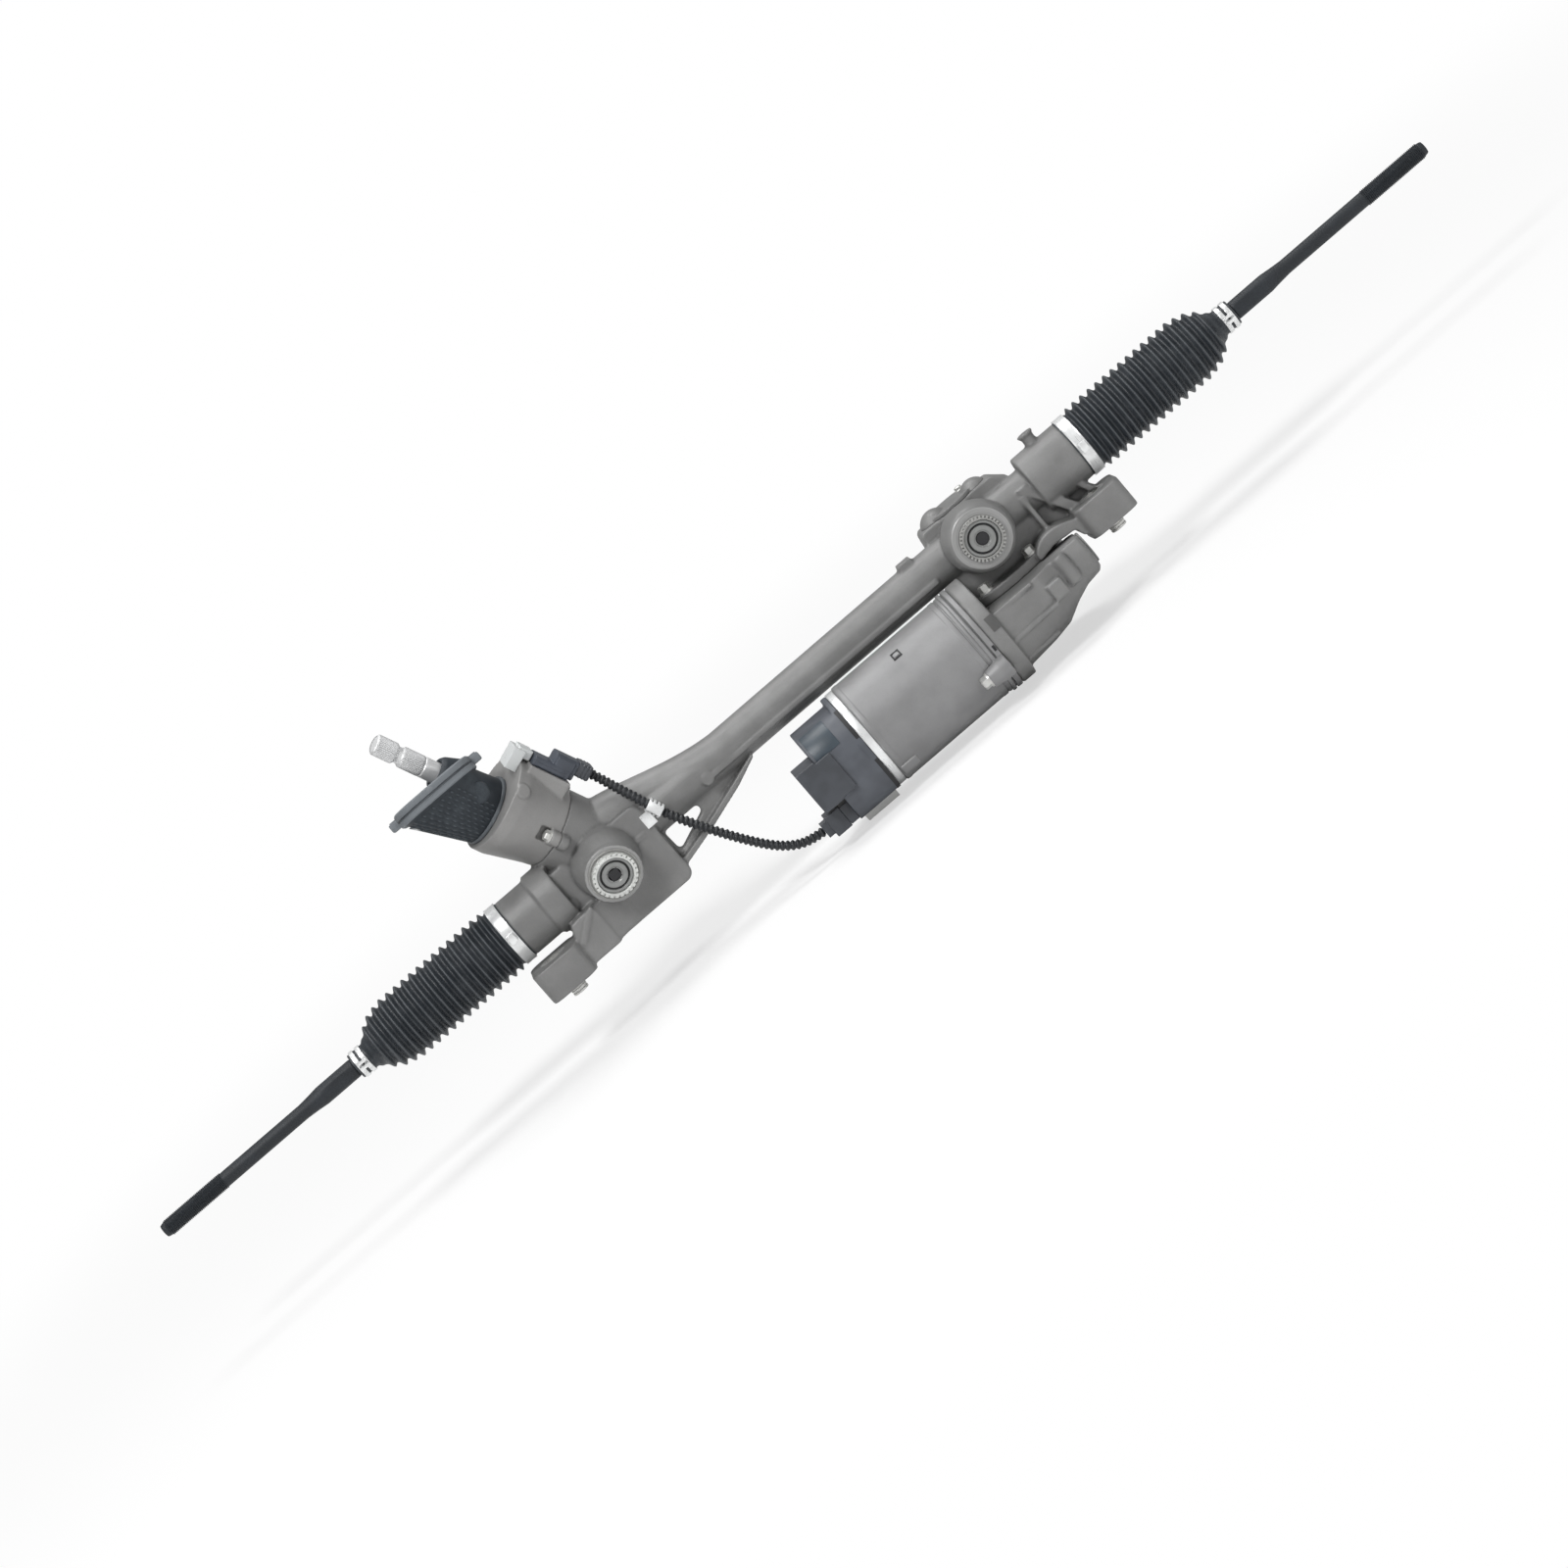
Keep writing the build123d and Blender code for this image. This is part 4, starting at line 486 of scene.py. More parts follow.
@dataclass(frozen=True)
class Line:
    """A line in the shared frame, in millimetres, on which forms are made."""

    origin: Point
    along: Point
    side: Point = (0.0, 1.0, 0.0)

    def matrix(self) -> Matrix:
        """From the line's own millimetres to the shared frame's metres."""
        along, side = Vector(self.along).normalized(), Vector(self.side).normalized()
        turn = Matrix((side, along.cross(side), along)).transposed().to_4x4()
        return Matrix.Scale(MM, 4) @ Matrix.Translation(self.origin) @ turn

    def at(self, x: float, y: float, z: float) -> Vector:
        """A point on the line's own axes, in the shared frame's metres."""
        return self.matrix() @ Vector((x, y, z))


RACK_Y, RACK_Z = 15.0, 60.0
RACK_LINE = Line((0.0, RACK_Y, RACK_Z), RIGHT)
STEER_AXIS = Line((-196.0, 30.5514, 64.1670), STEER_UP, STEER_OUT)
STEER_YOKE = Line((-196.0, RACK_Y, RACK_Z), STEER_FACE, RIGHT)
DRIVE_YOKE = Line((186.5, RACK_Y, RACK_Z), FRONT, RIGHT)
MOTOR_LINE = Line((0.0, -17.1, 0.0), RIGHT)

# Each end's name, its side, where its bellows is seated and where its ball is
ENDS = (("left", -1.0, -283.0, -363.0), ("right", 1.0, 287.0, 367.0))


class Forms:
    """Mesh forms in metres, made on a line from sizes in millimetres."""

    @staticmethod
    def rounded(outline: Outline, radius: float, closed: bool = False, steps: int = 3) -> Outline:
        """Rounds an outline's corners.

        Args:
            outline: Its points.
            radius: The largest radius; short sides get less.
            closed: Whether the last point joins the first.
            steps: Segments in each corner.

        Returns:
            The new outline.
        """
        points = [Vector(p) for p in outline]
        count = len(points)
        made: list[tuple[float, float]] = []
        for i, here in enumerate(points):
            if not closed and i in (0, count - 1):
                made.append((here.x, here.y))
                continue
            before, after = points[i - 1] - here, points[(i + 1) % count] - here
            reach = min(radius, 0.45 * before.length, 0.45 * after.length)
            if reach <= 0 or before.normalized().dot(after.normalized()) < -0.999:
                made.append((here.x, here.y))
                continue
            start, end = here + before.normalized() * reach, here + after.normalized() * reach
            for step in range(steps + 1):
                t = step / steps
                point = start * (1 - t) ** 2 + here * 2 * t * (1 - t) + end * t**2
                made.append((point.x, point.y))
        return made

    @staticmethod
    def turned(
        line: Line, outline: Outline, around: int = 72, rounding: float = 0.0, ring: bool = False
    ) -> bmesh.types.BMesh:
        """A turned form.

        Args:
            line: Its axis.
            outline: (radius, height) points; radius 0 closes an end.
            around: Segments round the axis.
            rounding: Radius of the corners.
            ring: Whether the outline is a closed section.

        Returns:
            The form.
        """
        if rounding:
            outline = Forms.rounded(outline, rounding, ring)
        form = bmesh.new()
        rows = []
        for radius, height in outline:
            if radius < 1e-6:
                rows.append([form.verts.new((0, 0, height))] * around)
                continue
            turns = [2 * math.pi * i / around for i in range(around)]
            rows.append([form.verts.new((radius * math.cos(a), radius * math.sin(a), height)) for a in turns])
        pairs = list(zip(rows, rows[1:])) + ([(rows[-1], rows[0])] if ring else [])
        for low, high in pairs:
            for i in range(around):
                j = (i + 1) % around
                corners = list(dict.fromkeys((low[i], low[j], high[j], high[i])))
                if len(corners) > 2:
                    form.faces.new(corners)
        return Forms.finish(form, line.matrix())

    @staticmethod
    def plate(
        line: Line, outline: Outline, low: float, high: float, rounding: float = 0.8
    ) -> bmesh.types.BMesh:
        """A plate with rounded edges, its outline drawn across a line.

        Args:
            line: The line it lies across.
            outline: (x, y) points on the line's own axes.
            low: Where it starts along the line.
            high: Where it ends.
            rounding: Radius of its edges.

        Returns:
            The form.
        """
        form = bmesh.new()
        face = form.faces.new([form.verts.new((x, y, low)) for x, y in outline])
        pushed = bmesh.ops.extrude_face_region(form, geom=[face])
        moved = [v for v in pushed["geom"] if isinstance(v, bmesh.types.BMVert)]
        bmesh.ops.translate(form, verts=moved, vec=(0, 0, high - low))
        bmesh.ops.recalc_face_normals(form, faces=form.faces)
        if rounding:
            edges = [e for e in form.edges if e.calc_face_angle(0) > 0.5]
            bmesh.ops.bevel(
                form, geom=edges, offset=rounding, segments=2, profile=0.6, affect="EDGES", clamp_overlap=True
            )
        return Forms.finish(form, line.matrix())

    @staticmethod
    def collar(
        line: Line, outline: Outline, low: float, high: float, share: float = 0.96
    ) -> bmesh.types.BMesh:
        """A closed band round an outline, its inside a share of the outside."""
        form = bmesh.new()
        rings = [[form.verts.new((x * k, y * k, z)) for x, y in outline]
                 for k, z in ((1.0, low), (1.0, high), (share, high), (share, low))]
        for near, far in zip(rings, rings[1:] + rings[:1]):
            for i, _ in enumerate(outline):
                j = (i + 1) % len(outline)
                form.faces.new((near[i], near[j], far[j], far[i]))
        return Forms.finish(form, line.matrix())

    @staticmethod
    def brick(line: Line, low: Point, high: Point, rounding: float = 0.8) -> bmesh.types.BMesh:
        """A block with rounded edges between two corners on a line's own axes."""
        outline = [(low[0], low[1]), (high[0], low[1]), (high[0], high[1]), (low[0], high[1])]
        return Forms.plate(line, outline, low[2], high[2], rounding)

    @staticmethod
    def finish(form: bmesh.types.BMesh, place: Matrix) -> bmesh.types.BMesh:
        """Puts a form in its place, with its faces outwards."""
        bmesh.ops.transform(form, matrix=place, verts=form.verts)
        bmesh.ops.recalc_face_normals(form, faces=form.faces)
        return form

    @staticmethod
    def of_node(name: str) -> bmesh.types.BMesh:
        """A merged copy of a CAD node."""
        form = bmesh.new()
        form.from_mesh(frame["nodes"][name].data)
        bmesh.ops.remove_doubles(form, verts=form.verts, dist=1e-6)
        return form

    @staticmethod
    def joined(*forms: bmesh.types.BMesh) -> bmesh.types.BMesh:
        """All the forms as one."""
        whole = bmesh.new()
        for form in forms:
            mesh = bpy.data.meshes.new("part_of_whole")
            form.to_mesh(mesh)
            form.free()
            whole.from_mesh(mesh)
            bpy.data.meshes.remove(mesh)
        return whole


class Pieces:
    """Turns forms into pieces that ride on a body and replace nodes."""

    made: list[str] = []

    @staticmethod
    def new(name: str, form: bmesh.types.BMesh, finish: Palette, sharp: float = 35.0) -> bpy.types.Object:
        """A piece from a form.

        Args:
            name: The piece's name.
            form: Its shape, which is used up.
            finish: Its finish.
            sharp: Edges over this angle in degrees stay sharp.

        Returns:
            The piece.
        """
        mesh = bpy.data.meshes.new(name)
        form.to_mesh(mesh)
        form.free()
        mesh.materials.append(finish.material)
        mesh.shade_smooth()
        mesh.set_sharp_from_angle(angle=math.radians(sharp))
        made = bpy.data.objects.new(name, mesh)
        bpy.context.scene.collection.objects.link(made)
        return made

    @staticmethod
    def evaluated(holder: bpy.types.Object, name: str) -> bpy.types.Object:
        """A plain piece with the holder's modifiers applied; the holder goes."""
        depsgraph = bpy.context.evaluated_depsgraph_get()
        mesh = bpy.data.meshes.new_from_object(holder.evaluated_get(depsgraph))
        bpy.data.objects.remove(holder)
        mesh.name = name
        made = bpy.data.objects.new(name, mesh)
        bpy.context.scene.collection.objects.link(made)
        return made

    @staticmethod
    def grown(
        name: str,
        base: bpy.types.Mesh | bpy.types.Curve,
        tree: bpy.types.NodeTree,
        values: dict[str, object],
    ) -> bpy.types.Object:
        """A piece that a geometry tree makes.

        Args:
            name: The piece's name.
            base: The mesh or curve that the tree starts from.
            tree: The tree.
            values: Its inputs by name.

        Returns:
            The piece as a plain mesh.
        """
        holder = bpy.data.objects.new(name + "_base", base)
        bpy.context.scene.collection.objects.link(holder)
        modifier = holder.modifiers.new("grow", "NODES")
        modifier.node_group = tree
        for item in tree.interface.items_tree:
            if item.item_type == "SOCKET" and item.in_out == "INPUT" and item.name in values:
                modifier[item.identifier] = values[item.name]
        return Pieces.evaluated(holder, name)

    @staticmethod
    def graft(
        form: bmesh.types.BMesh, line: Line, lift: float, tree: bpy.types.NodeTree, values: dict[str, object]
    ) -> None:
        """Grows a shape on a line and adds it to a form.

        Args:
            form: The form that gets it.
            line: The line it lies on.
            lift: How far up the line it starts, in millimetres.
            tree: The tree that makes it.
            values: The tree's inputs by name.
        """
        grown = Pieces.grown("graft", bpy.data.meshes.new("seed"), tree, values)
        grown.data.transform(Matrix.Translation((0, 0, lift * MM)))
        grown.data.transform(Matrix.Scale(1 / MM, 4))
        grown.data.transform(line.matrix())
        form.from_mesh(grown.data)
        bpy.data.objects.remove(grown)

    @staticmethod
    def cast(
        name: str,
        form: bmesh.types.BMesh,
        finish: Palette,
        voxel: float,
        softening: int,
        limit: int = 190000,
    ) -> bpy.types.Object:
        """A cast piece: its forms fused, and its edges softened.

        Args:
            name: The piece's name.
            form: Closed forms that may overlap.
            finish: Its finish.
            voxel: The fusing grid in millimetres.
            softening: Rounds of smoothing.
            limit: The most triangles it may have.

        Returns:
            The piece.
        """
        holder = Pieces.new(name + "_base", form, finish)
        fuse = holder.modifiers.new("fuse", "REMESH")
        fuse.mode = "VOXEL"
        fuse.voxel_size = voxel * MM
        soften = holder.modifiers.new("soften", "SMOOTH")
        soften.factor = 0.5
        soften.iterations = softening
        made = Pieces.evaluated(holder, name)
        triangles = sum(len(p.vertices) - 2 for p in made.data.polygons)
        if triangles > limit:
            thin = made.modifiers.new("thin", "DECIMATE")
            thin.ratio = limit / triangles
            made = Pieces.evaluated(made, name)
        made.data.shade_smooth()
        made.data.materials.clear()
        made.data.materials.append(finish.material)
        return made

    @staticmethod
    def place(piece: bpy.types.Object, body: str, slot: str, *nodes: str) -> bpy.types.Object:
        """Rides a piece on a body, in place of nodes, and reports it.

        Args:
            piece: The piece.
            body: The CAD body it moves with.
            slot: The record's material slot; not used.
            *nodes: The CAD nodes that it stands for.

        Returns:
            The piece.
        """
        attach(piece, body)
        Pieces.note(piece, body, slot, *nodes)
        return piece

    @staticmethod
    def note(piece: bpy.types.Object, body: str, slot: str, *nodes: str) -> None:
        """Hides the nodes a piece stands for, lists the piece and logs it."""
        if nodes:
            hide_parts(*nodes)
        Pieces.made.append(piece.name)
        LOG.info("%s on %s: %d faces", piece.name, body, len(piece.data.polygons))


# Geometry trees


class Tree(Graph):
    """A geometry tree with named inputs that ends in Realize Instances and Set Material."""

    KINDS = {float: "NodeSocketFloat", int: "NodeSocketInt", bpy.types.Material: "NodeSocketMaterial"}

    def __init__(self, name: str, inputs: dict[str, object]) -> None:
        """Makes the tree's interface.

        Args:
            name: The tree's name.
            inputs: Each input's name and its default, or its type.
        """
        tree = bpy.data.node_groups.new(name, "GeometryNodeTree")
        super().__init__(tree)
        tree.interface.new_socket("Geometry", in_out="INPUT", socket_type="NodeSocketGeometry")
        for key, default in inputs.items():
            kind = default if isinstance(default, type) else type(default)
            socket = tree.interface.new_socket(key, in_out="INPUT", socket_type=self.KINDS[kind])
            if not isinstance(default, type):
                socket.default_value = default
        tree.interface.new_socket("Material", in_out="INPUT", socket_type="NodeSocketMaterial")
        tree.interface.new_socket("Geometry", in_out="OUTPUT", socket_type="NodeSocketGeometry")
        self.inlet = self.node("NodeGroupInput")

    def entry(self, name: str) -> Value:
        """A named input."""
        return Value(self, self.inlet.outputs[name])

    def close(self, shape: Value) -> bpy.types.NodeTree:
        """Ends the tree with this shape."""
        real = self.value("GeometryNodeRealizeInstances", None, {"Geometry": shape})
        sockets = {"Geometry": real, "Material": self.entry("Material")}
        painted = self.value("GeometryNodeSetMaterial", None, sockets)
        self.node("NodeGroupOutput", None, {"Geometry": painted})
        return self.tree

    @staticmethod
    def sleeve(name: str, radius: Outline, ribs: Outline) -> bpy.types.NodeTree:
        """A tube whose radius follows one curve and the depth of its ribs another.

        Args:
            name: The tree's name.
            radius: (part of the length, part of Scale) points.
            ribs: (part of the length, part of Rib Depth) points.

        Returns:
            The tree. Ribs that run round have a Pitch; Helix makes them a thread; Lobes run lengthwise.
        """
        inputs = {"Length": 0.1, "Scale": 0.03, "Pitch": 0.008, "Rib Depth": 0.004, "Sharpness": 1.0}
        inputs |= {"Helix": 0.0, "Lobes": 0.0, "Steps": 200, "Around": 72}
        tree = Tree(name, inputs)
        sockets = {"Size X": 1.0, "Size Y": 1.0}
        sockets |= {"Vertices X": tree.entry("Steps"), "Vertices Y": tree.entry("Around")}
        grid = tree.value("GeometryNodeMeshGrid", None, sockets)
        position = tree.value("GeometryNodeInputPosition")
        parts = tree.node("ShaderNodeSeparateXYZ", None, {0: position})
        along = Value(tree, parts.outputs[0]) + 0.5
        turn = Value(tree, parts.outputs[1]) + 0.5
        angle = turn * (2 * math.pi)
        distance = along * tree.entry("Length")
        whole = tree.value("ShaderNodeFloatCurve", {"curve": radius}, {"Value": along})
        depth = tree.value("ShaderNodeFloatCurve", {"curve": ribs}, {"Value": along})
        phase = distance / tree.entry("Pitch") + turn * tree.entry("Helix")
        wave = tree.maths("COSINE", phase * (2 * math.pi)) * 0.5 + 0.5
        wave = wave ** tree.entry("Sharpness")
        lobes = tree.maths("COSINE", angle * tree.entry("Lobes")) * 0.5 + 0.5
        has_lobes = tree.maths("GREATER_THAN", tree.entry("Lobes"), 0.5)
        crest = wave * (1.0 - has_lobes) + lobes * has_lobes
        r = whole * tree.entry("Scale") + crest * depth * tree.entry("Rib Depth")
        across = {0: r * tree.maths("COSINE", angle), 1: r * tree.maths("SINE", angle), 2: distance}
        point = tree.value("ShaderNodeCombineXYZ", None, across)
        shaped = tree.value("GeometryNodeSetPosition", None, {"Geometry": grid, "Position": point})
        shaped = tree.value("GeometryNodeMergeByDistance", None, {"Geometry": shaped, "Distance": 1e-6})
        shaped = tree.value("GeometryNodeSetShadeSmooth", None, {"Geometry": shaped})
        return tree.close(shaped)

    @staticmethod
    def bolts() -> bpy.types.NodeTree:
        """Hexagon flange bolts on points that carry a direction and a size."""
        tree = Tree("bolt_heads", {"Flange Radius": 1.25, "Flange Height": 0.22, "Crown": 0.14})
        flange, crown = tree.entry("Flange Radius"), tree.entry("Crown")
        shapes = (
            (28, flange, flange * 0.93, 0.0, tree.entry("Flange Height")),
            (6, 1.0, 1.0, 0.0, 1.0 - crown),
            (6, 1.0, 0.8, 1.0 - crown, crown),
            (16, 0.5, 0.42, 1.0, 0.03),
        )
        join = tree.node("GeometryNodeJoinGeometry")
        for sides, low, high, start, tall in shapes:
            sockets = {"Vertices": sides, "Radius Bottom": low, "Radius Top": high, "Depth": tall}
            cone = tree.value("GeometryNodeMeshCone", None, sockets)
            lift = tree.value("ShaderNodeCombineXYZ", None, {2: start})
            moved = tree.value("GeometryNodeTransform", None, {"Geometry": cone, "Translation": lift})
            tree.tree.links.new(moved.socket, join.inputs[0])
        vector = {"data_type": "FLOAT_VECTOR"}
        lean = tree.value("GeometryNodeInputNamedAttribute", vector, {"Name": "lean"})
        size = tree.value("GeometryNodeInputNamedAttribute", vector, {"Name": "size"})
        turn = tree.value("FunctionNodeAlignRotationToVector", {"axis": "Z"}, {"Vector": lean})
        sockets = {"Points": tree.entry("Geometry"), "Instance": Value(tree, join.outputs[0]),
                   "Rotation": turn, "Scale": size}
        return tree.close(tree.value("GeometryNodeInstanceOnPoints", None, sockets))

    @staticmethod
    def crown() -> bpy.types.NodeTree:
        """Small bricks spaced evenly round a circle, such as a lock ring's teeth."""
        inputs = {"Teeth": 24, "Circle": 0.02, "Deep": 0.002, "Wide": 0.003, "High": 0.003}
        tree = Tree("crown_of_teeth", inputs)
        sockets = {"Vertices": tree.entry("Teeth"), "Radius": tree.entry("Circle")}
        circle = tree.value("GeometryNodeMeshCircle", None, sockets)
        sockets = {0: tree.entry("Deep"), 1: tree.entry("Wide"), 2: tree.entry("High")}
        size = tree.value("ShaderNodeCombineXYZ", None, sockets)
        tooth = tree.value("GeometryNodeMeshCube", None, {"Size": size})
        outward = tree.value("GeometryNodeInputPosition")
        settings = {"axis": "X", "pivot_axis": "Z"}
        turn = tree.value("FunctionNodeAlignRotationToVector", settings, {"Vector": outward})
        sockets = {"Points": circle, "Instance": tooth, "Rotation": turn}
        return tree.close(tree.value("GeometryNodeInstanceOnPoints", None, sockets))

    @staticmethod
    def corrugated() -> bpy.types.NodeTree:
        """A corrugated tube that follows a curve."""
        inputs = {"Radius": 0.0038, "Rib Depth": 0.0008, "Pitch": 0.0032, "Samples": 400, "Around": 24}
        tree = Tree("corrugated_tube", inputs)
        sockets = {"Curve": tree.entry("Geometry"), "Count": tree.entry("Samples")}
        even = tree.value("GeometryNodeResampleCurve", None, sockets)
        length = tree.value("GeometryNodeSplineParameter", output="Length")
        wave = tree.maths("COSINE", length / tree.entry("Pitch") * (2 * math.pi)) * 0.5 + 0.5
        swell = tree.entry("Radius") - tree.entry("Rib Depth") * (1.0 - wave ** 0.6)
        sized = tree.value("GeometryNodeSetCurveRadius", None, {"Curve": even, "Radius": swell})
        sockets = {"Resolution": tree.entry("Around"), "Radius": 1.0}
        ring = tree.value("GeometryNodeCurvePrimitiveCircle", {"mode": "RADIUS"}, sockets)
        scale = tree.value("GeometryNodeInputRadius")
        sockets = {"Curve": sized, "Profile Curve": ring, "Scale": scale, "Fill Caps": True}
        tube = tree.value("GeometryNodeCurveToMesh", None, sockets)
        return tree.close(tree.value("GeometryNodeSetShadeSmooth", None, {"Geometry": tube}))


# Sub-assemblies


@dataclass
class Studio:
    """Camera, lamps, floor and world."""

    target: Point = (-0.052, 0.005, 0.0105)
    roll: float = 40.726
    elevation: float = 9.0
    distance: float = 4.2
    width: float = 1.216
    sensor: float = 36.0
    floor_gap: float = 0.004
    floor_reach: float = 30.0
    ambient: float = 0.22
    sheen: float = 0.2
    lamps: tuple[tuple[str, Point, float, float], ...] = (
        ("key_lamp", (-0.8, -1.9, 2.6), 1.2, 62.0),
        ("fill_lamp", (2.2, -2.4, 0.9), 2.2, 12.0),
        ("top_lamp", (0.4, 0.5, 2.9), 1.6, 40.0))

    def build(self) -> None:
        """Makes everything that isn't part of the rack."""
        self.camera()
        self.world()
        self.floor()
        target = Vector(self.target)
        for name, place, size, power in self.lamps:
            lamp = bpy.data.lights.new(name, "AREA")
            lamp.shape = "DISK"
            lamp.size = size
            lamp.energy = power
            made = bpy.data.objects.new(name, lamp)
            made.location = target + Vector(place)
            made.rotation_euler = (target - made.location).to_track_quat("-Z", "Y").to_euler()
            bpy.context.scene.collection.objects.link(made)
        bpy.context.scene.view_settings.view_transform = "Standard"

    def camera(self) -> None:
        """Sets the camera at the photograph's angle, rolled as it was."""
        tilt, turn = math.radians(self.elevation), math.radians(self.roll)
        ahead = Vector((0.0, math.cos(tilt), -math.sin(tilt)))
        level_up = Vector((0.0, math.sin(tilt), math.cos(tilt)))
        right = Vector(RIGHT) * math.cos(turn) - level_up * math.sin(turn)
        up = Vector(RIGHT) * math.sin(turn) + level_up * math.cos(turn)
        lens = bpy.data.cameras.new("camera")
        lens.sensor_width = self.sensor
        lens.lens = self.distance * self.sensor / self.width
        made = bpy.data.objects.new("camera", lens)
        turned = Matrix((right, up, -ahead)).transposed().to_4x4()
        made.matrix_world = Matrix.Translation(Vector(self.target) - ahead * self.distance) @ turned
        bpy.context.scene.collection.objects.link(made)
        bpy.context.scene.camera = made

    def world(self) -> None:
        """A white backdrop that lights the rack at a plain level."""
        world = bpy.data.worlds.new("studio")
        world.use_nodes = True
        graph = Graph(world.node_tree)
        path = graph.node("ShaderNodeLightPath")
        seen = graph.maths("MAXIMUM", Value(graph, path.outputs["Is Camera Ray"]),
                           Value(graph, path.outputs["Is Transmission Ray"]))
        glossy = Value(graph, path.outputs["Is Glossy Ray"])
        strength = self.ambient + seen * (1.0 - self.ambient) + glossy * self.sheen
        light = graph.value("ShaderNodeBackground", None, {"Color": (1, 1, 1, 1), "Strength": strength})
        graph.node("ShaderNodeOutputWorld", None, {"Surface": light})
        bpy.context.scene.world = world

    def floor(self) -> None:
        """A wide pale floor that keeps a faint shadow near the rack."""
        low = CAD_BOX[0].z - self.floor_gap
        reach = self.floor_reach
        mesh = bpy.data.meshes.new("floor")
        corners = [(-reach, -reach, low), (reach, -reach, low), (reach, reach, low), (-reach, reach, low)]
        mesh.from_pydata(corners, [], [(0, 1, 2, 3)])
        made = bpy.data.objects.new("floor", mesh)
        bpy.context.scene.collection.objects.link(made)
        material = bpy.data.materials.new("floor_white")
        material.use_nodes = True
        graph = Graph(material.node_tree)
        where = graph.value("ShaderNodeTexCoord", output="Object")
        away = graph.vectors("LENGTH", where, output=1)
        seen = graph.value("ShaderNodeLightPath", output="Is Camera Ray")
        share = seen * (graph.smooth(away, 0.5, 1.6) * 0.4 + 0.6)
        matt = graph.value("ShaderNodeBsdfDiffuse", None, {"Color": (0.93, 0.93, 0.93, 1)})
        glow = graph.value("ShaderNodeEmission", None, {"Color": (1, 1, 1, 1), "Strength": 1.0})
        both = graph.value("ShaderNodeMixShader", None, {0: share, 1: matt, 2: glow})
        graph.node("ShaderNodeOutputMaterial", None, {"Surface": both})
        mesh.materials.append(material)


@dataclass
class RackCasting:
    """The one-piece housing round the rack, with its ears, ribs and machined faces."""

    voxel: float = 1.2
    softening: int = 4
    body_front: float = -2.0
    bead: Outline = ((24.0, -254.5), (26.4, -253.0), (26.8, -251.0), (26.2, -249.0), (24.0, -247.5))
    ramp: Outline = ((-228.0, -14.8), (-200.0, -1.0), (-228.0, -1.0))
    ramp_levels: tuple[float, float] = (4.0, 38.0)
    rib_start: Point = (-250.0, -15.0, 20.5)
    rib_along: Point = (0.772, 0.0, 0.636)
    rib_length: float = 30.0
    ledge_place: tuple[float, float] = (-178.0, 53.5)
    ledge_length: float = 20.0

    def build(self) -> None:
        """Fuses the CAD solid with the small cast details."""
        form = Forms.joined(Forms.of_node("rack_housing"), *self.details())
        piece = Pieces.cast("rack_housing_cast", form, Palette.CASTING, self.voxel, self.softening)
        Pieces.place(piece, "housing", "cast_aluminium", "rack_housing")

    def details(self) -> list[bmesh.types.BMesh]:
        """The bead round the left end tube, the arm's ramp and slanting rib, and a short ledge."""
        bead = Forms.turned(RACK_LINE, self.bead, 96, 0.0, True)
        ramp = Forms.plate(Line((0.0, 0.0, 0.0), UP, RIGHT), self.ramp, *self.ramp_levels, 0.5)
        slant = Line(self.rib_start, self.rib_along, FRONT)
        rib = Forms.brick(slant, (-2.0, -1.6, 0.0), (1.7, 1.6, self.rib_length), 0.6)
        x, z = self.ledge_place
        ledge_line = Line((x, self.body_front, z), RIGHT, FRONT)
        ledge = Forms.brick(ledge_line, (-2.0, -1.0, 0.0), (1.3, 1.2, self.ledge_length), 0.5)
        return [bead, ramp, rib, ledge]


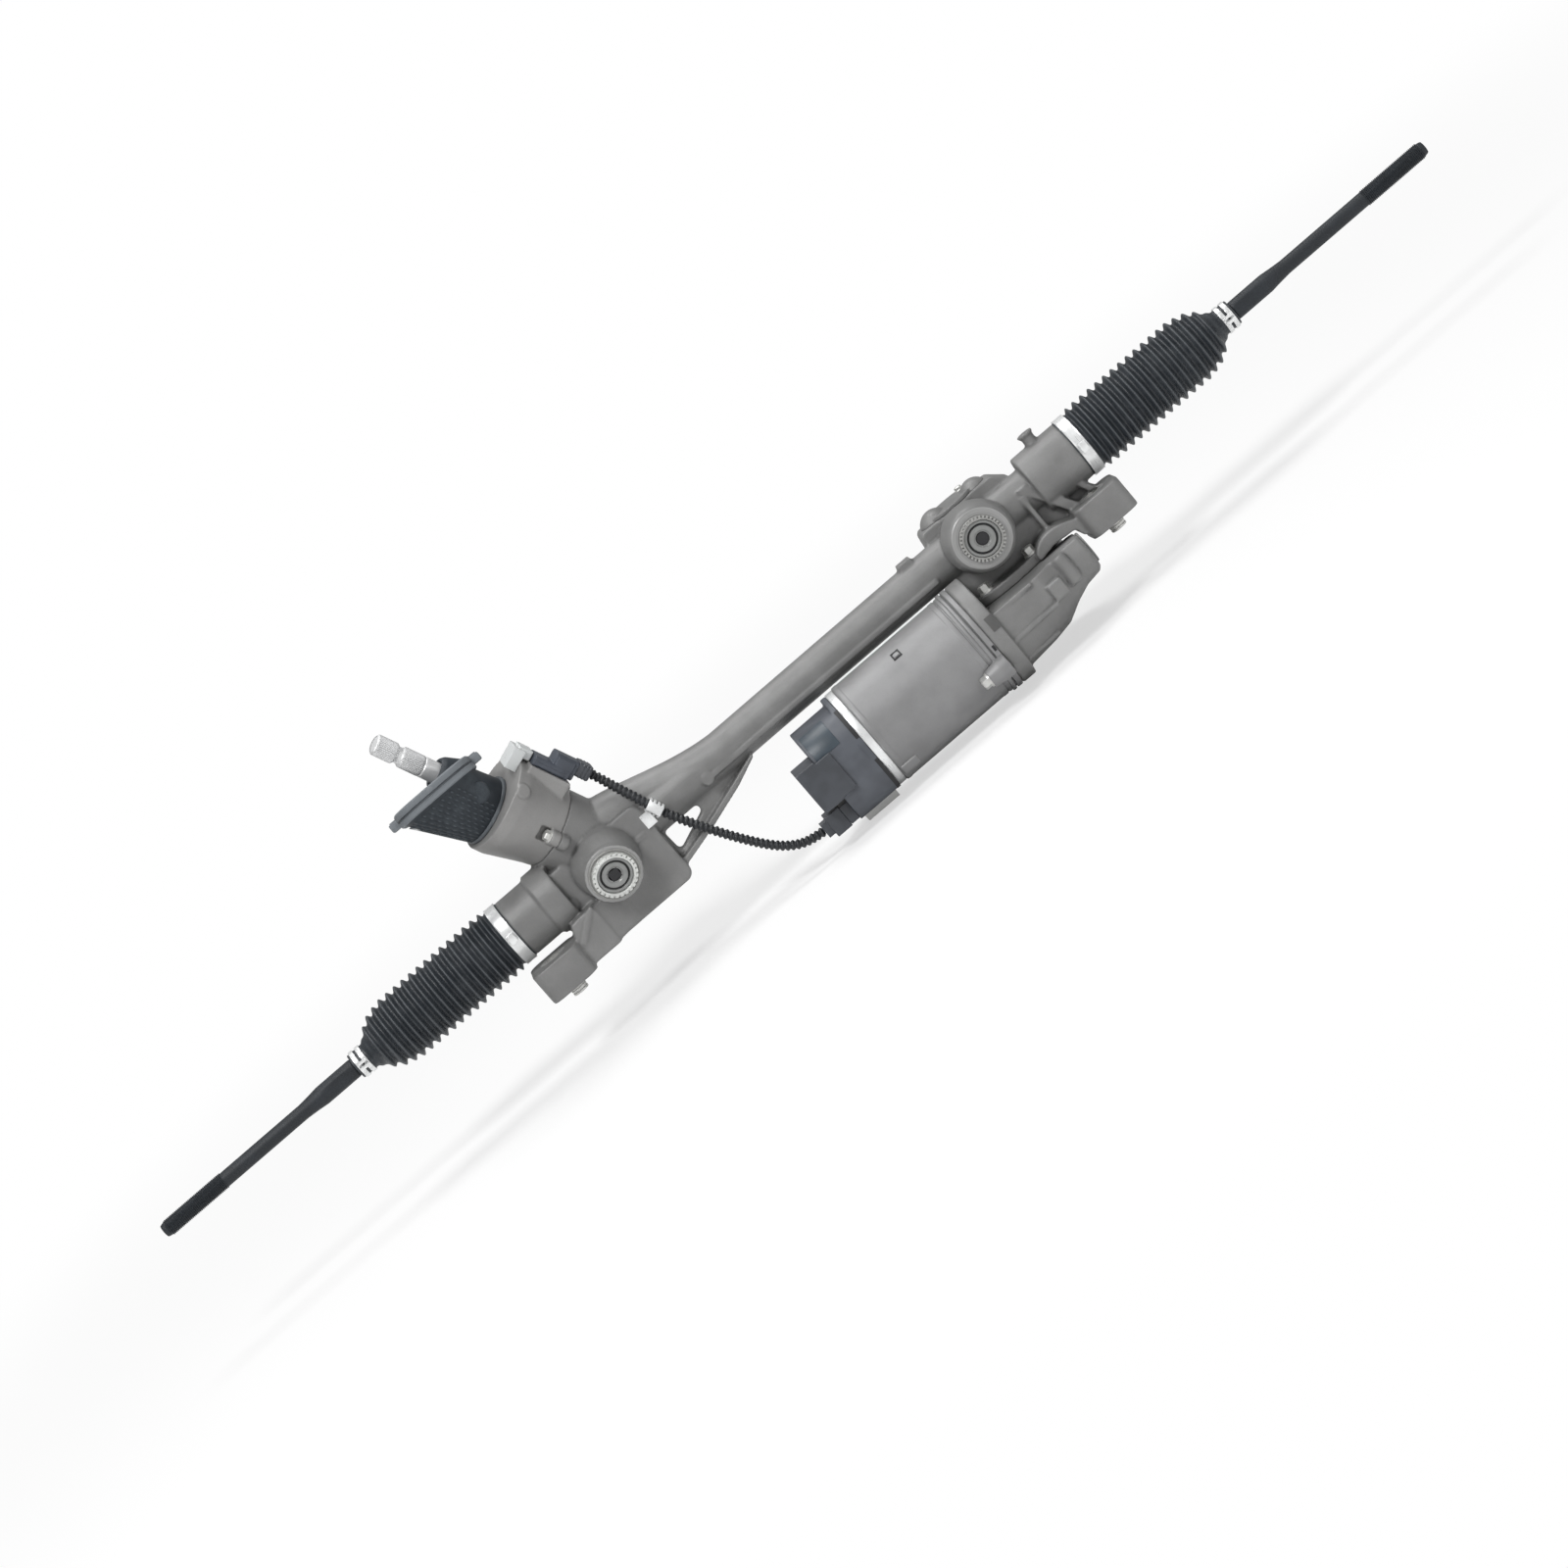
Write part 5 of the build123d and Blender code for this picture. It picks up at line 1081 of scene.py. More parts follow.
@dataclass
class SmallCastings:
    """The gearbox, the sensor housing and the cast caps."""

    pad_turn: float = 214.4
    pad_height: float = 88.0
    tower_r: float = 40.5
    neck_place: Point = (220.0, -40.5, 0.0)
    neck: Outline = ((0, -12), (5.4, -12), (6.6, -9), (6.6, 10), (5.8, 14), (0, 14))
    tab_place: Point = (204.5, -54.0, -4.5)
    rib_place: Point = (152.0, -17.1, 0.0)
    rib_along: Point = (0.992, 0.05, 0.0)
    rib_turns_and_lengths: Outline = ((-18.0, 46.0), (-52.0, 34.0))
    step_place: Point = (153.0, -52.5, 13.0)

    def build(self) -> None:
        """Softens each CAD solid into a casting."""
        for node, finish, voxel, softening, details in (
            ("gearbox_housing", Palette.CASTING, 1.0, 4, self.gearbox_details()),
            ("sensor_housing", Palette.TOWER, 0.9, 4, [self.pad()]),
            ("pinion_bearing_cap", Palette.CASTING, 0.6, 4, []),
            ("worm_end_cap", Palette.CASTING, 0.5, 3, []),
        ):
            form = Forms.joined(Forms.of_node(node), *details)
            piece = Pieces.cast(node + "_cast", form, finish, voxel, softening)
            Pieces.place(piece, "housing", "cast_aluminium", node)

    def gearbox_details(self) -> list[bmesh.types.BMesh]:
        """The upright neck, the tab, the two long ribs and the foot rib on the worm housing."""
        neck = Forms.turned(Line(self.neck_place, UP), self.neck, 40, 0.8)
        tab = Forms.brick(Line(self.tab_place, FRONT, RIGHT), (-6.5, -7.5, -8.0), (6.5, 7.5, 2.0), 1.2)
        ribs = []
        for turn, length in self.rib_turns_and_lengths:
            angle = math.radians(turn)
            line = Line(self.rib_place, self.rib_along, (0.0, -math.cos(angle), math.sin(angle)))
            ribs.append(Forms.brick(line, (34.0, -1.6, 0.0), (42.6, 1.6, length), 0.8))
        step = Forms.brick(Line(self.step_place, RIGHT, FRONT), (-4.0, -1.2, 0.0), (3.6, 1.6, 38.0), 0.6)
        return [neck, tab, *ribs, step]

    def pad(self) -> bmesh.types.BMesh:
        """The small round pad near the tower's top."""
        up, out = Vector(STEER_UP), Vector(STEER_OUT)
        turn = math.radians(self.pad_turn)
        along = out * math.cos(turn) + up.cross(out) * math.sin(turn)
        origin = Vector(STEER_AXIS.origin) + up * self.pad_height
        line = Line(tuple(origin), tuple(along), STEER_UP)
        foot, top = self.tower_r - 4, self.tower_r + 1.8
        return Forms.turned(line, [(0, foot), (6.2, foot), (5.6, top), (0, top)], 40, 0.6)


@dataclass
class Fixings:
    """Bolt heads on the castings, and the sleeves through the ears."""

    tower_bolt_turns: tuple[float, ...] = (-50.0, 50.0, 180.0)
    motor_bolt_turns: tuple[float, ...] = (27.0, 207.0)
    tower_bolt_out: float = 35.0
    motor_bolt_out: float = 48.0
    cap_screws: Outline = ((171.5, 46.9), (201.5, 46.9))
    flange_bolts: Outline = ((209.0, -3.0), (164.0, -3.0), (209.0, 68.8), (164.0, 68.8))
    ear_x: float = 275.0
    sleeve: Outline = (
        (6.3, -7.6), (6.6, -8.0), (7.0, -7.6), (7.0, -6.3), (6.6, -5.9), (6.6, -5.5), (7.0, -5.1),
        (7.0, -3.9), (6.6, -3.5), (6.6, -3.1), (7.0, -2.7), (7.0, 26.8), (6.3, 26.9))

    def build(self) -> None:
        """Makes the bolt heads on their points and the two sleeves."""
        bolts = self.bolts()
        mesh = bpy.data.meshes.new("bolt_places")
        mesh.from_pydata([bolt[0] for bolt in bolts], [], [])
        for name, column, scale in (("lean", 1, 1.0), ("size", 2, MM)):
            layer = mesh.attributes.new(name, "FLOAT_VECTOR", "POINT")
            layer.data.foreach_set("vector", [value * scale for bolt in bolts for value in bolt[column]])
        heads = Pieces.grown("bolt_heads", mesh, Tree.bolts(), {"Material": Palette.BOLT.material})
        Pieces.place(heads, "housing", "bolts", "housing_bolts")
        lines = [Line((side * self.ear_x, 0.0, 0.0), UP) for side in (-1, 1)]
        sleeves = [Forms.turned(line, self.sleeve, 64, 0.15, True) for line in lines]
        piece = Pieces.new("mounting_sleeve_pair", Forms.joined(*sleeves), Palette.BOLT, 30)
        Pieces.place(piece, "housing", "steel", "mounting_sleeves")

    def bolts(self) -> list[tuple[Vector, Point, Point]]:
        """Each bolt's place in metres, its direction and its size in millimetres."""
        rows = []
        for turn in self.tower_bolt_turns:
            x, y = self.across(self.tower_bolt_out, turn)
            rows.append((STEER_AXIS.at(x, y, 52.0), STEER_UP, (4.5, 4.5, 4.9)))
        for turn in self.motor_bolt_turns:
            x, y = self.across(self.motor_bolt_out, turn)
            rows.append((MOTOR_LINE.at(x, y, 119.5), (-1.0, 0.0, 0.0), (5.2, 5.2, 6.9)))
        rows += [(Vector((x, y, 90.0)) * MM, UP, (3.2, 3.2, 2.9)) for x, y in self.cap_screws]
        rows += [(Vector((x, y, 22.0)) * MM, UP, (5.0, 5.0, 7.0)) for x, y in self.flange_bolts]
        return rows

    @staticmethod
    def across(reach: float, turn: float) -> tuple[float, float]:
        """A place across a line, from its distance and its turn in degrees."""
        return reach * math.cos(math.radians(turn)), reach * math.sin(math.radians(turn))


@dataclass
class Bellows:
    """A rubber bellows, in a ribbed part along the rack and a nose at the tie rod."""

    name: str
    side: float
    end_x: float
    length: float = 163.8
    pitch: float = 7.8
    rib_depth: float = 4.3
    seat: float = 13.0
    split: float = 105.0
    nose: float = 150.0
    wall: float = 1.5
    scale: float = 30.0
    steps: int = 253
    around: int = 80
    radii: Outline = (
        (0.0, 25.5), (11.0, 25.5), (13.0, 24.2), (119.0, 24.2), (134.0, 20.5), (144.0, 14.5), (150.0, 10.9),
        (163.8, 10.9))
    depths: Outline = (
        (0.0, 0.0), (12.5, 0.0), (16.0, 1.0), (128.0, 1.0), (140.0, 0.85), (149.0, 0.0), (163.8, 0.0))

    def build(self) -> None:
        """Grows the sleeve, splits it and gives it a wall."""
        line = Line((self.end_x, RACK_Y, RACK_Z), (self.side, 0.0, 0.0))
        radii = [(s / self.length, r / self.scale) for s, r in self.radii]
        depths = [(s / self.length, d) for s, d in self.depths]
        tree = Tree.sleeve("bellows_sleeve_" + self.name, radii, depths)
        values = {"Length": self.length * MM, "Scale": self.scale * MM, "Pitch": self.pitch * MM,
                  "Rib Depth": self.rib_depth * MM, "Sharpness": 1.25, "Steps": self.steps,
                  "Around": self.around, "Material": Palette.BELLOWS.material}
        sleeve = Pieces.grown("sleeve_" + self.name, bpy.data.meshes.new("seed"), tree, values)
        sleeve.data.transform(Matrix.Scale(1 / MM, 4))
        sleeve.data.transform(line.matrix())
        cut = line.at(0, 0, self.split)
        for part, keep_inner in (("folds", True), ("nose", False)):
            form = bmesh.new()
            form.from_mesh(sleeve.data)
            geometry = form.verts[:] + form.edges[:] + form.faces[:]
            bmesh.ops.bisect_plane(
                form, geom=geometry, dist=1e-7, plane_co=cut, plane_no=(self.side, 0, 0),
                clear_outer=keep_inner, clear_inner=not keep_inner,
            )
            bmesh.ops.recalc_face_normals(form, faces=form.faces)
            largest = max(form.faces, key=lambda f: f.calc_area())
            centre = largest.calc_center_median()
            if largest.normal.dot(centre - Vector((centre.x, RACK_Y * MM, RACK_Z * MM))) < 0:
                bmesh.ops.reverse_faces(form, faces=form.faces)
            holder = Pieces.new(f"bellows_{self.name}_{part}_base", form, Palette.BELLOWS, 60)
            wall = holder.modifiers.new("wall", "SOLIDIFY")
            wall.thickness = self.wall * MM
            wall.offset = -1.0
            piece = Pieces.evaluated(holder, f"bellows_{self.name}_{part}")
            self.bend(piece, part)
        bpy.data.objects.remove(sleeve)

    def bend(self, piece: bpy.types.Object, part: str) -> None:
        """Bakes one part of the bellows in place and logs it, hiding the bellows node."""
        rod = "tie_rod_" + self.name
        if part == "folds":
            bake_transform(piece)
        else:
            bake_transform(piece)
        Pieces.note(piece, "housing to " + rod, "rubber", "bellows_" + self.name)


@dataclass
class TieRod:
    """A forged tie rod with its ball, its two flats and its threaded end."""

    name: str
    side: float
    ball_x: float
    ball: float = 12.0
    neck: float = 5.45
    thread_start: float = 217.0
    thread_end: float = 277.5
    thread_root: float = 6.15
    thread_depth: float = 0.85
    thread_pitch: float = 1.5
    flat_half: float = 6.7
    flat_zone: tuple[float, float] = (91.0, 109.0)
    shank: Outline = (
        (6.6, 32.0), (6.6, 83.0), (8.0, 85.0), (8.0, 91.0), (8.0, 96.0), (8.0, 100.0), (8.0, 104.0),
        (8.0, 109.0), (8.0, 118.0), (7.0, 127.0), (6.2, 137.0))

    def build(self) -> None:
        """Makes the forging and its thread."""
        line = Line((self.ball_x, RACK_Y, RACK_Z), (self.side, 0.0, 0.0))
        turns = [math.radians(a) for a in range(0, 153, 9)]
        ball = [(self.ball * math.sin(a), -self.ball * math.cos(a)) for a in turns]
        neck = [(self.neck, 10.8), (self.neck, 14.0), (self.neck, 26.0)]
        core = self.thread_root - 0.1
        end = [(6.2, self.thread_start), (core, self.thread_start + 2), (core, self.thread_end - 1),
               (5.2, 280.0), (0, 280.0)]
        outline = ball + neck + list(self.shank) + end
        form = Forms.turned(line, Forms.rounded(outline, 1.0, steps=2), 64)
        for vert in form.verts:
            distance = (vert.co.x / MM - self.ball_x) * self.side
            if self.flat_zone[0] - 0.5 < distance < self.flat_zone[1] + 0.5:
                offset = vert.co.y / MM - RACK_Y
                vert.co.y = (RACK_Y + max(-self.flat_half, min(self.flat_half, offset))) * MM
        fade = ((0.0, 0.86), (0.03, 1.0), (0.96, 1.0), (1.0, 0.85))
        ridge = ((0.0, 0.0), (0.03, 1.0), (0.97, 1.0), (1.0, 0.0))
        tree = Tree.sleeve("rod_thread_" + self.name, fade, ridge)
        length = self.thread_end - self.thread_start
        values = {"Length": length * MM, "Scale": self.thread_root * MM, "Pitch": self.thread_pitch * MM,
                  "Rib Depth": self.thread_depth * MM, "Sharpness": 0.9, "Helix": 1.0, "Steps": 323,
                  "Around": 40, "Material": Palette.FORGED.material}
        Pieces.graft(form, line, self.thread_start, tree, values)
        piece = Pieces.new("tie_rod_" + self.name + "_forging", form, Palette.FORGED, 50)
        Pieces.place(piece, "tie_rod_" + self.name, "forged", "tie_rod_" + self.name)


@dataclass
class Clamps:
    """The band clamps at the bellows' large ends and the spring clamps at their noses."""

    band_r: float = 25.7
    band_thick: float = 1.1
    spring_r: float = 10.9
    spring_thick: float = 1.3

    def build(self) -> None:
        """Makes both pairs."""
        bands = []
        for name, side, end_x, ball_x in ENDS:
            end = Line((end_x, RACK_Y, RACK_Z), (side, 0.0, 0.0))
            bands.append(self.band(end))
            ball = Line((ball_x, RACK_Y, RACK_Z), (side, 0.0, 0.0))
            piece = Pieces.new("spring_clamp_" + name, self.spring(ball), Palette.BAND)
            Pieces.place(piece, "tie_rod_" + name, "band", "rod_clamp_" + name)
        piece = Pieces.new("band_clamp_pair", Forms.joined(*bands), Palette.BAND)
        Pieces.place(piece, "housing", "band", "band_clamps")

    def band(self, line: Line) -> bmesh.types.BMesh:
        """A crimped band with a raised ear."""
        inner, outer = self.band_r, self.band_r + self.band_thick
        lip = outer + 0.3
        outline = [(inner, 1.0), (lip, 1.0), (outer, 2.0), (outer, 9.4), (lip, 10.4), (inner, 10.4)]
        ring = Forms.turned(line, outline, 96, 0.3, True)
        ear = Forms.brick(line, (-outer - 3.6, -4.5, 2.6), (-outer + 0.6, -2.9, 8.8), 0.4)
        mate = Forms.brick(line, (-outer - 3.6, 2.9, 2.6), (-outer + 0.6, 4.5, 8.8), 0.4)
        bridge = Forms.brick(line, (-outer - 4.3, -3.8, 2.6), (-outer - 3.0, 3.8, 8.8), 0.5)
        return Forms.joined(ring, ear, mate, bridge)

    def spring(self, line: Line) -> bmesh.types.BMesh:
        """A spring clamp of two wires, with two tabs."""
        inner, outer = self.spring_r, self.spring_r + self.spring_thick
        rings = []
        for low, high in ((72.0, 75.9), (78.1, 82.0)):
            outline = [(inner, low), (outer, low), (outer, high), (inner, high)]
            rings.append(Forms.turned(line, outline, 64, 0.4, True))
        tabs = [Forms.brick(line, (-outer - 5.0, y, 72.6), (-outer + 0.6, y + 1.3, 81.4), 0.4)
                for y in (-2.2, 0.9)]
        feet = [Forms.brick(line, (-outer - 5.6, y, 73.6), (-outer - 4.3, y + 2.6, 80.4), 0.4)
                for y in (-3.6, 1.0)]
        return Forms.joined(*rings, *tabs, *feet)


@dataclass
class InputShaft:
    """The splined input shaft with its clamp groove."""

    radius: float = 8.5
    spline_depth: float = 0.75
    spline_start: float = 158.0
    tip: float = 201.0
    lobes: float = 36.0

    def build(self) -> None:
        """Makes the plain shaft and its two splined stretches."""
        r, core, groove, end = self.radius, self.radius - 0.9, self.radius - 1.8, self.tip - 0.3
        outline = [(0, 48.3), (r, 48.3), (r, self.spline_start), (core, self.spline_start + 0.8),
                   (core, 177.6), (groove, 178.6), (groove, 181.4), (core, 182.4), (core, 200.0),
                   (r - 2, end), (0, end)]
        plain = Forms.turned(STEER_AXIS, outline, 72, 0.4)
        fade = ((0.0, 0.86), (0.06, 1.0), (0.94, 1.0), (1.0, 0.86))
        ridge = ((0.0, 0.0), (0.08, 1.0), (0.92, 1.0), (1.0, 0.0))
        for low, high in ((self.spline_start, 178.0), (182.0, self.tip)):
            tree = Tree.sleeve("spline_teeth", fade, ridge)
            values = {"Length": (high - low) * MM, "Scale": (self.radius - self.spline_depth) * MM,
                      "Rib Depth": self.spline_depth * MM, "Lobes": self.lobes, "Steps": 24, "Around": 289,
                      "Material": Palette.SHAFT.material}
            Pieces.graft(plain, STEER_AXIS, low, tree, values)
        piece = Pieces.new("input_shaft_splined", plain, Palette.SHAFT, 40)
        Pieces.place(piece, "input_shaft", "steel", "input_shaft")


@dataclass
class BulkheadSeal:
    """The ribbed rubber seal that widens to a rim round the input shaft."""

    foot_r: float = 26.5
    foot_shift: float = 9.5
    foot_height: float = 94.0
    top: float = 140.0
    rim_shift: float = 12.0
    half_length: float = 37.0
    half_depth: float = 38.0
    rim: float = 12.0
    inset: float = 3.0
    wall: float = 2.5
    around: int = 288
    ribs: int = 48
    rib_height: float = 1.7
    rows: int = 44
    dashes: float = 9.0
    sleeve_r: float = 9.6
    sleeve_height: float = 131.0
    strip_teeth: int = 34
    squareness: float = 3.2
    button_shift: Point = (3.0, -28.0, 0.0)
    funnel: Outline = (
        (9.2, 126.0), (20.0, 127.0), (17.0, 136.0), (14.5, 144.0), (12.0, 147.0), (10.0, 147.0), (9.2, 144.0))
    button: Outline = ((0, -6), (9.4, -6), (8.8, 2.2), (7.4, 2.9), (0, 2.9))
    dish: Sequence[Point] = (
        (1.0, -0.4, -3.2), (1.0, -0.3, -4.6), (1.0, -2.5, -6.5), (1.0, -7.0, -9.0), (1.5, -9.0, -12.0),
        (2.0, -9.0, -14.0), (2.0, -10.5, -14.0), (1.5, -10.5, -12.0), (1.0, -10.5, -8.0),
        (1.0, -10.5, -3.2))
    edge: Sequence[Point] = (
        (1.0, -12.0, -1.2), (1.0, -11.0, 0.0), (1.0, -7.4, 0.0), (1.0, -6.9, -0.9), (1.0, -5.7, -0.9),
        (1.0, -5.2, 0.0), (1.0, -1.2, 0.0), (1.0, 0.0, -1.2), (1.0, 0.0, -3.0), (1.0, -1.0, -3.6),
        (1.0, -11.0, -3.6))

    def build(self) -> None:
        """Lofts the skirt, the rim and the dish, and adds lugs, the funnel and the side strip."""
        steps = [i / self.rows for i in range(self.rows + 1)]
        outside = [(t, 1.0 - self.rim, -self.inset) for t in steps]
        inside = [(t, 1.0 - self.rim, -self.inset - self.wall) for t in reversed(steps)]
        funnel = Forms.turned(STEER_AXIS, self.funnel, 64, 1.0, True)
        place = Vector(STEER_AXIS.origin) + Vector(STEER_UP) * 112 + Vector(self.button_shift)
        button = Forms.turned(Line(tuple(place), (0.1, -1.0, -0.1), RIGHT), self.button, 48, 0.9)
        skirt, dish = self.lofted(outside + inside, True), self.lofted(self.dish, False)
        dark = Forms.joined(skirt, dish, funnel, button)
        piece = Pieces.new("bulkhead_seal_skirt", dark, Palette.SEAL, 50)
        Pieces.place(piece, "housing", "rubber", "bulkhead_seal")
        lugs = []
        for side in (-1, 1):
            out = side * (self.half_length + 2)
            lugs.append(Forms.brick(self.rim_line(), (out - 5.5, -6, -9.5), (out + 5.5, 6, -2.5), 1.5))
            lugs.append(Forms.brick(self.rim_line(), (out - 4.0, -4.0, -3.0), (out + 4.0, 4.0, -1.6), 0.6))
        grey = Forms.joined(self.lofted(self.edge, False), self.foot_bead(), self.strip(), *lugs)
        piece = Pieces.new("bulkhead_seal_rim", grey, Palette.SEAL_EDGE, 45)
        Pieces.place(piece, "housing", "rubber", "bulkhead_seal")

    def rim_line(self) -> Line:
        """The line that the rim lies across."""
        centre = Vector(STEER_AXIS.origin) + Vector(STEER_UP) * self.top - Vector((self.rim_shift, 0, 0))
        return Line(tuple(centre), (0.0, 0.16, 0.987), RIGHT)

    def point(self, angle: float, level: float, height: float, grow: float) -> Vector:
        """A point of the seal: level 0 is at the foot, 1 at the rim and 2 at the shaft's sleeve."""
        x, y = self.squircle(angle, grow)
        high = self.rim_line().at(x, y, height)
        if level > 1.0:
            r, up = self.sleeve_r, self.sleeve_height + 9.0 + height
            sleeve = STEER_AXIS.at(r * math.sin(angle), -r * math.cos(angle), up)
            return high.lerp(sleeve, level - 1.0)
        r = self.foot_r + grow + self.inset
        low = STEER_AXIS.at(r * math.sin(angle), self.foot_shift - r * math.cos(angle), self.foot_height)
        return low.lerp(high, level)

    def lofted(self, stations: Sequence[Point], ribbed: bool) -> bmesh.types.BMesh:
        """A closed ring of rubber through its stations.

        Args:
            stations: (level, height at the rim, growth) round the section.
            ribbed: Whether broken ribs stand on its outside.

        Returns:
            The form.
        """
        form = bmesh.new()
        middle = self.point(0.0, 0.5, 0.0, 0.0).lerp(self.point(math.pi, 0.5, 0.0, 0.0), 0.5)
        rings = []
        for level, height, grow in stations:
            ring = []
            for i in range(self.around):
                angle = 2 * math.pi * i / self.around
                point = self.point(angle, level, height, grow)
                if ribbed and grow == -self.inset:
                    outward = Vector((point.x - middle.x, point.y - middle.y, 0.0)).normalized()
                    point += outward * self.rib(angle, level) * MM
                ring.append(form.verts.new(point))
            rings.append(ring)
        for low, high in zip(rings, rings[1:] + rings[:1]):
            for i in range(self.around):
                j = (i + 1) % self.around
                form.faces.new((low[i], low[j], high[j], high[i]))
        bmesh.ops.recalc_face_normals(form, faces=form.faces)
        return form

    def rib(self, angle: float, level: float) -> float:
        """How far a broken rib stands out there, in millimetres."""
        if not 0.08 < level < 0.93 or math.cos(angle) > 0.45 or abs(angle - math.pi - 0.19) < 0.33:
            return 0.0
        crest = max(0.0, math.cos(self.ribs * angle)) ** 0.8
        which = round(self.ribs * angle / (2 * math.pi))
        dash = 0.5 + 0.5 * math.cos(2 * math.pi * self.dashes * level + math.pi * (which % 2))
        return self.rib_height * crest * (0.25 + 0.75 * dash)

    def foot_bead(self) -> bmesh.types.BMesh:
        """The thin rim where the skirt meets the tower."""
        line = Line(tuple(STEER_AXIS.at(0.0, self.foot_shift, self.foot_height) / MM), STEER_UP, STEER_OUT)
        r = self.foot_r
        outline = [(r - 1.5, 0.2), (r + 1.6, 0.2), (r + 2.0, 1.4), (r + 1.6, 3.2), (r - 1.5, 3.4)]
        return Forms.turned(line, outline, 96, 0.5, True)

    def strip(self) -> bmesh.types.BMesh:
        """The toothed strip down the skirt's left side."""
        form = bmesh.new()
        pitch = 0.9 / self.strip_teeth
        for i in range(self.strip_teeth):
            start = 0.05 + pitch * i
            corners = []
            for level in (start, start + 0.6 * pitch):
                for grow in (-self.inset - 0.6, -self.inset + 1.5):
                    for swing in (-0.08, 0.46):
                        corners.append(form.verts.new(self.point(math.pi + swing, level, -self.rim, grow)))
            a, b, c, d, e, f, g, h = corners
            for face in ((a, b, d, c), (e, g, h, f), (a, e, f, b), (c, d, h, g), (a, c, g, e), (b, f, h, d)):
                form.faces.new(face)
        bmesh.ops.recalc_face_normals(form, faces=form.faces)
        return form

    def squircle(self, angle: float, grow: float) -> tuple[float, float]:
        """A point on the rim's rounded outline."""
        power = self.squareness
        a, b = self.half_length + grow, self.half_depth + grow
        c, s = math.cos(angle), math.sin(angle)
        reach = (abs(c / a) ** power + abs(s / b) ** power) ** (-1 / power)
        return reach * c, reach * s


@dataclass
class SensorHead:
    """The sensor connector, its plug and the pale lug on the tower."""

    side: float = -9.0

    def build(self) -> None:
        """Dresses the black and pale plastic pieces."""
        for node, finish, slot, details in (
            ("sensor_connector", Palette.HOOD, "connector_black", self.latches()),
            ("sensor_plug", Palette.BLACK, "connector_black", self.grips()),
            ("connector_lug", Palette.PALE, "pale_plastic", []),
        ):
            form = Forms.joined(Forms.of_node(node), *details)
            piece = Pieces.cast(node + "_moulded", form, finish, 0.5, 3)
            Pieces.place(piece, "housing", slot, node)
        link = []
        for i in range(3):
            low = -38.0 + 2.6 * i
            link.append(Forms.brick(STEER_AXIS, (-5.0 + 0.2 * i, low, 98.0), (1.0, low + 1.4, 104.0), 0.3))
        piece = Pieces.new("lug_teeth", Forms.joined(*link), Palette.BLACK)
        Pieces.place(piece, "housing", "connector_black")

    def latches(self) -> list[bmesh.types.BMesh]:
        """Ribs on the hood and the latch over the plug."""
        ribs = [Forms.brick(STEER_AXIS, (self.side - 10.6, y, 60.0), (self.side + 10.6, y + 1.4, 84.0), 0.4)
                for y in (-47.5, -44.5)]
        latch = Forms.brick(STEER_AXIS, (self.side - 8.9, -56.5, 55.0), (self.side - 7.2, -45.0, 70.0), 0.5)
        return ribs + [latch]

    def grips(self) -> list[bmesh.types.BMesh]:
        """Finger ribs round the plug's grip."""
        return [Forms.brick(STEER_AXIS, (self.side - 8.1, -59.6, z), (self.side + 8.1, -47.4, z + 1.1), 0.4)
                for z in (41.5, 44.5, 47.5)]


@dataclass
class SensorLead:
    """The corrugated lead from the sensor plug to the control plug, and its clip."""

    radius: float = 3.8
    rib_depth: float = 1.5
    pitch: float = 4.1
    clip_place: Point = (-139.64, -9.63, 64.83)
    clip_along: Point = (0.378, -0.254, -0.890)
    route: tuple[Point, ...] = (
        (-160.88, 7.15, 116.77), (-157.69, 9.25, 108.95), (-152.8, 4.0, 96.5), (-146.5, -4.0, 82.0),
        (-137.0, -12.0, 58.0), (-122.0, -14.0, 31.0), (-106.0, -20.0, 6.0), (-90.0, -28.5, -14.5),
        (-77.0, -34.0, -25.0), (-64.0, -36.6, -30.0), (-52.0, -37.0, -31.0))

    def build(self) -> None:
        """Grows the tube along its route and makes the clip."""
        curve = bpy.data.curves.new("lead_route", "CURVE")
        curve.dimensions = "3D"
        spline = curve.splines.new("NURBS")
        spline.points.add(len(self.route) - 1)
        for point, place in zip(spline.points, self.route):
            point.co = (*(c * MM for c in place), 1.0)
        spline.order_u = 3
        spline.use_endpoint_u = True
        curve.resolution_u = 24
        values = {"Radius": (self.radius + 0.3) * MM, "Rib Depth": self.rib_depth * MM,
                  "Pitch": self.pitch * MM, "Samples": 560, "Around": 28, "Material": Palette.LEAD.material}
        piece = Pieces.grown("sensor_lead_sleeve", curve, Tree.corrugated(), values)
        Pieces.place(piece, "housing", "lead", "sensor_lead")
        self.clip()

    def clip(self) -> None:
        """A coiled steel clip round the lead, with the strap that holds it to the casting."""
        line = Line(self.clip_place, self.clip_along)
        inner, outer = self.radius + 0.5, self.radius + 2.3
        coils = []
        for middle in (-5.2, -1.8, 1.8, 5.2):
            low, high = middle - 1.1, middle + 1.1
            outline = [(inner, low), (outer, low), (outer, high), (inner, high)]
            coils.append(Forms.turned(line, outline, 40, 0.9, True))
        back = Forms.brick(line, (-inner - 2.4, -4.0, -6.2), (-inner + 0.4, 4.0, 6.2), 0.6)
        strap = Forms.brick(Line((-149.0, -2.0, 60.0), FRONT, RIGHT), (-5.0, -6.0, 0.0), (4.6, 6.0, 1.6), 0.5)
        arm = Forms.brick(Line((-145.6, -2.0, 60.0), FRONT, RIGHT), (-1.0, -4.0, 0.0), (1.0, 4.0, 7.6), 0.5)
        piece = Pieces.new("lead_clip_coil", Forms.joined(*coils, back, strap, arm), Palette.BAND)
        Pieces.place(piece, "housing", "band", "lead_clip")


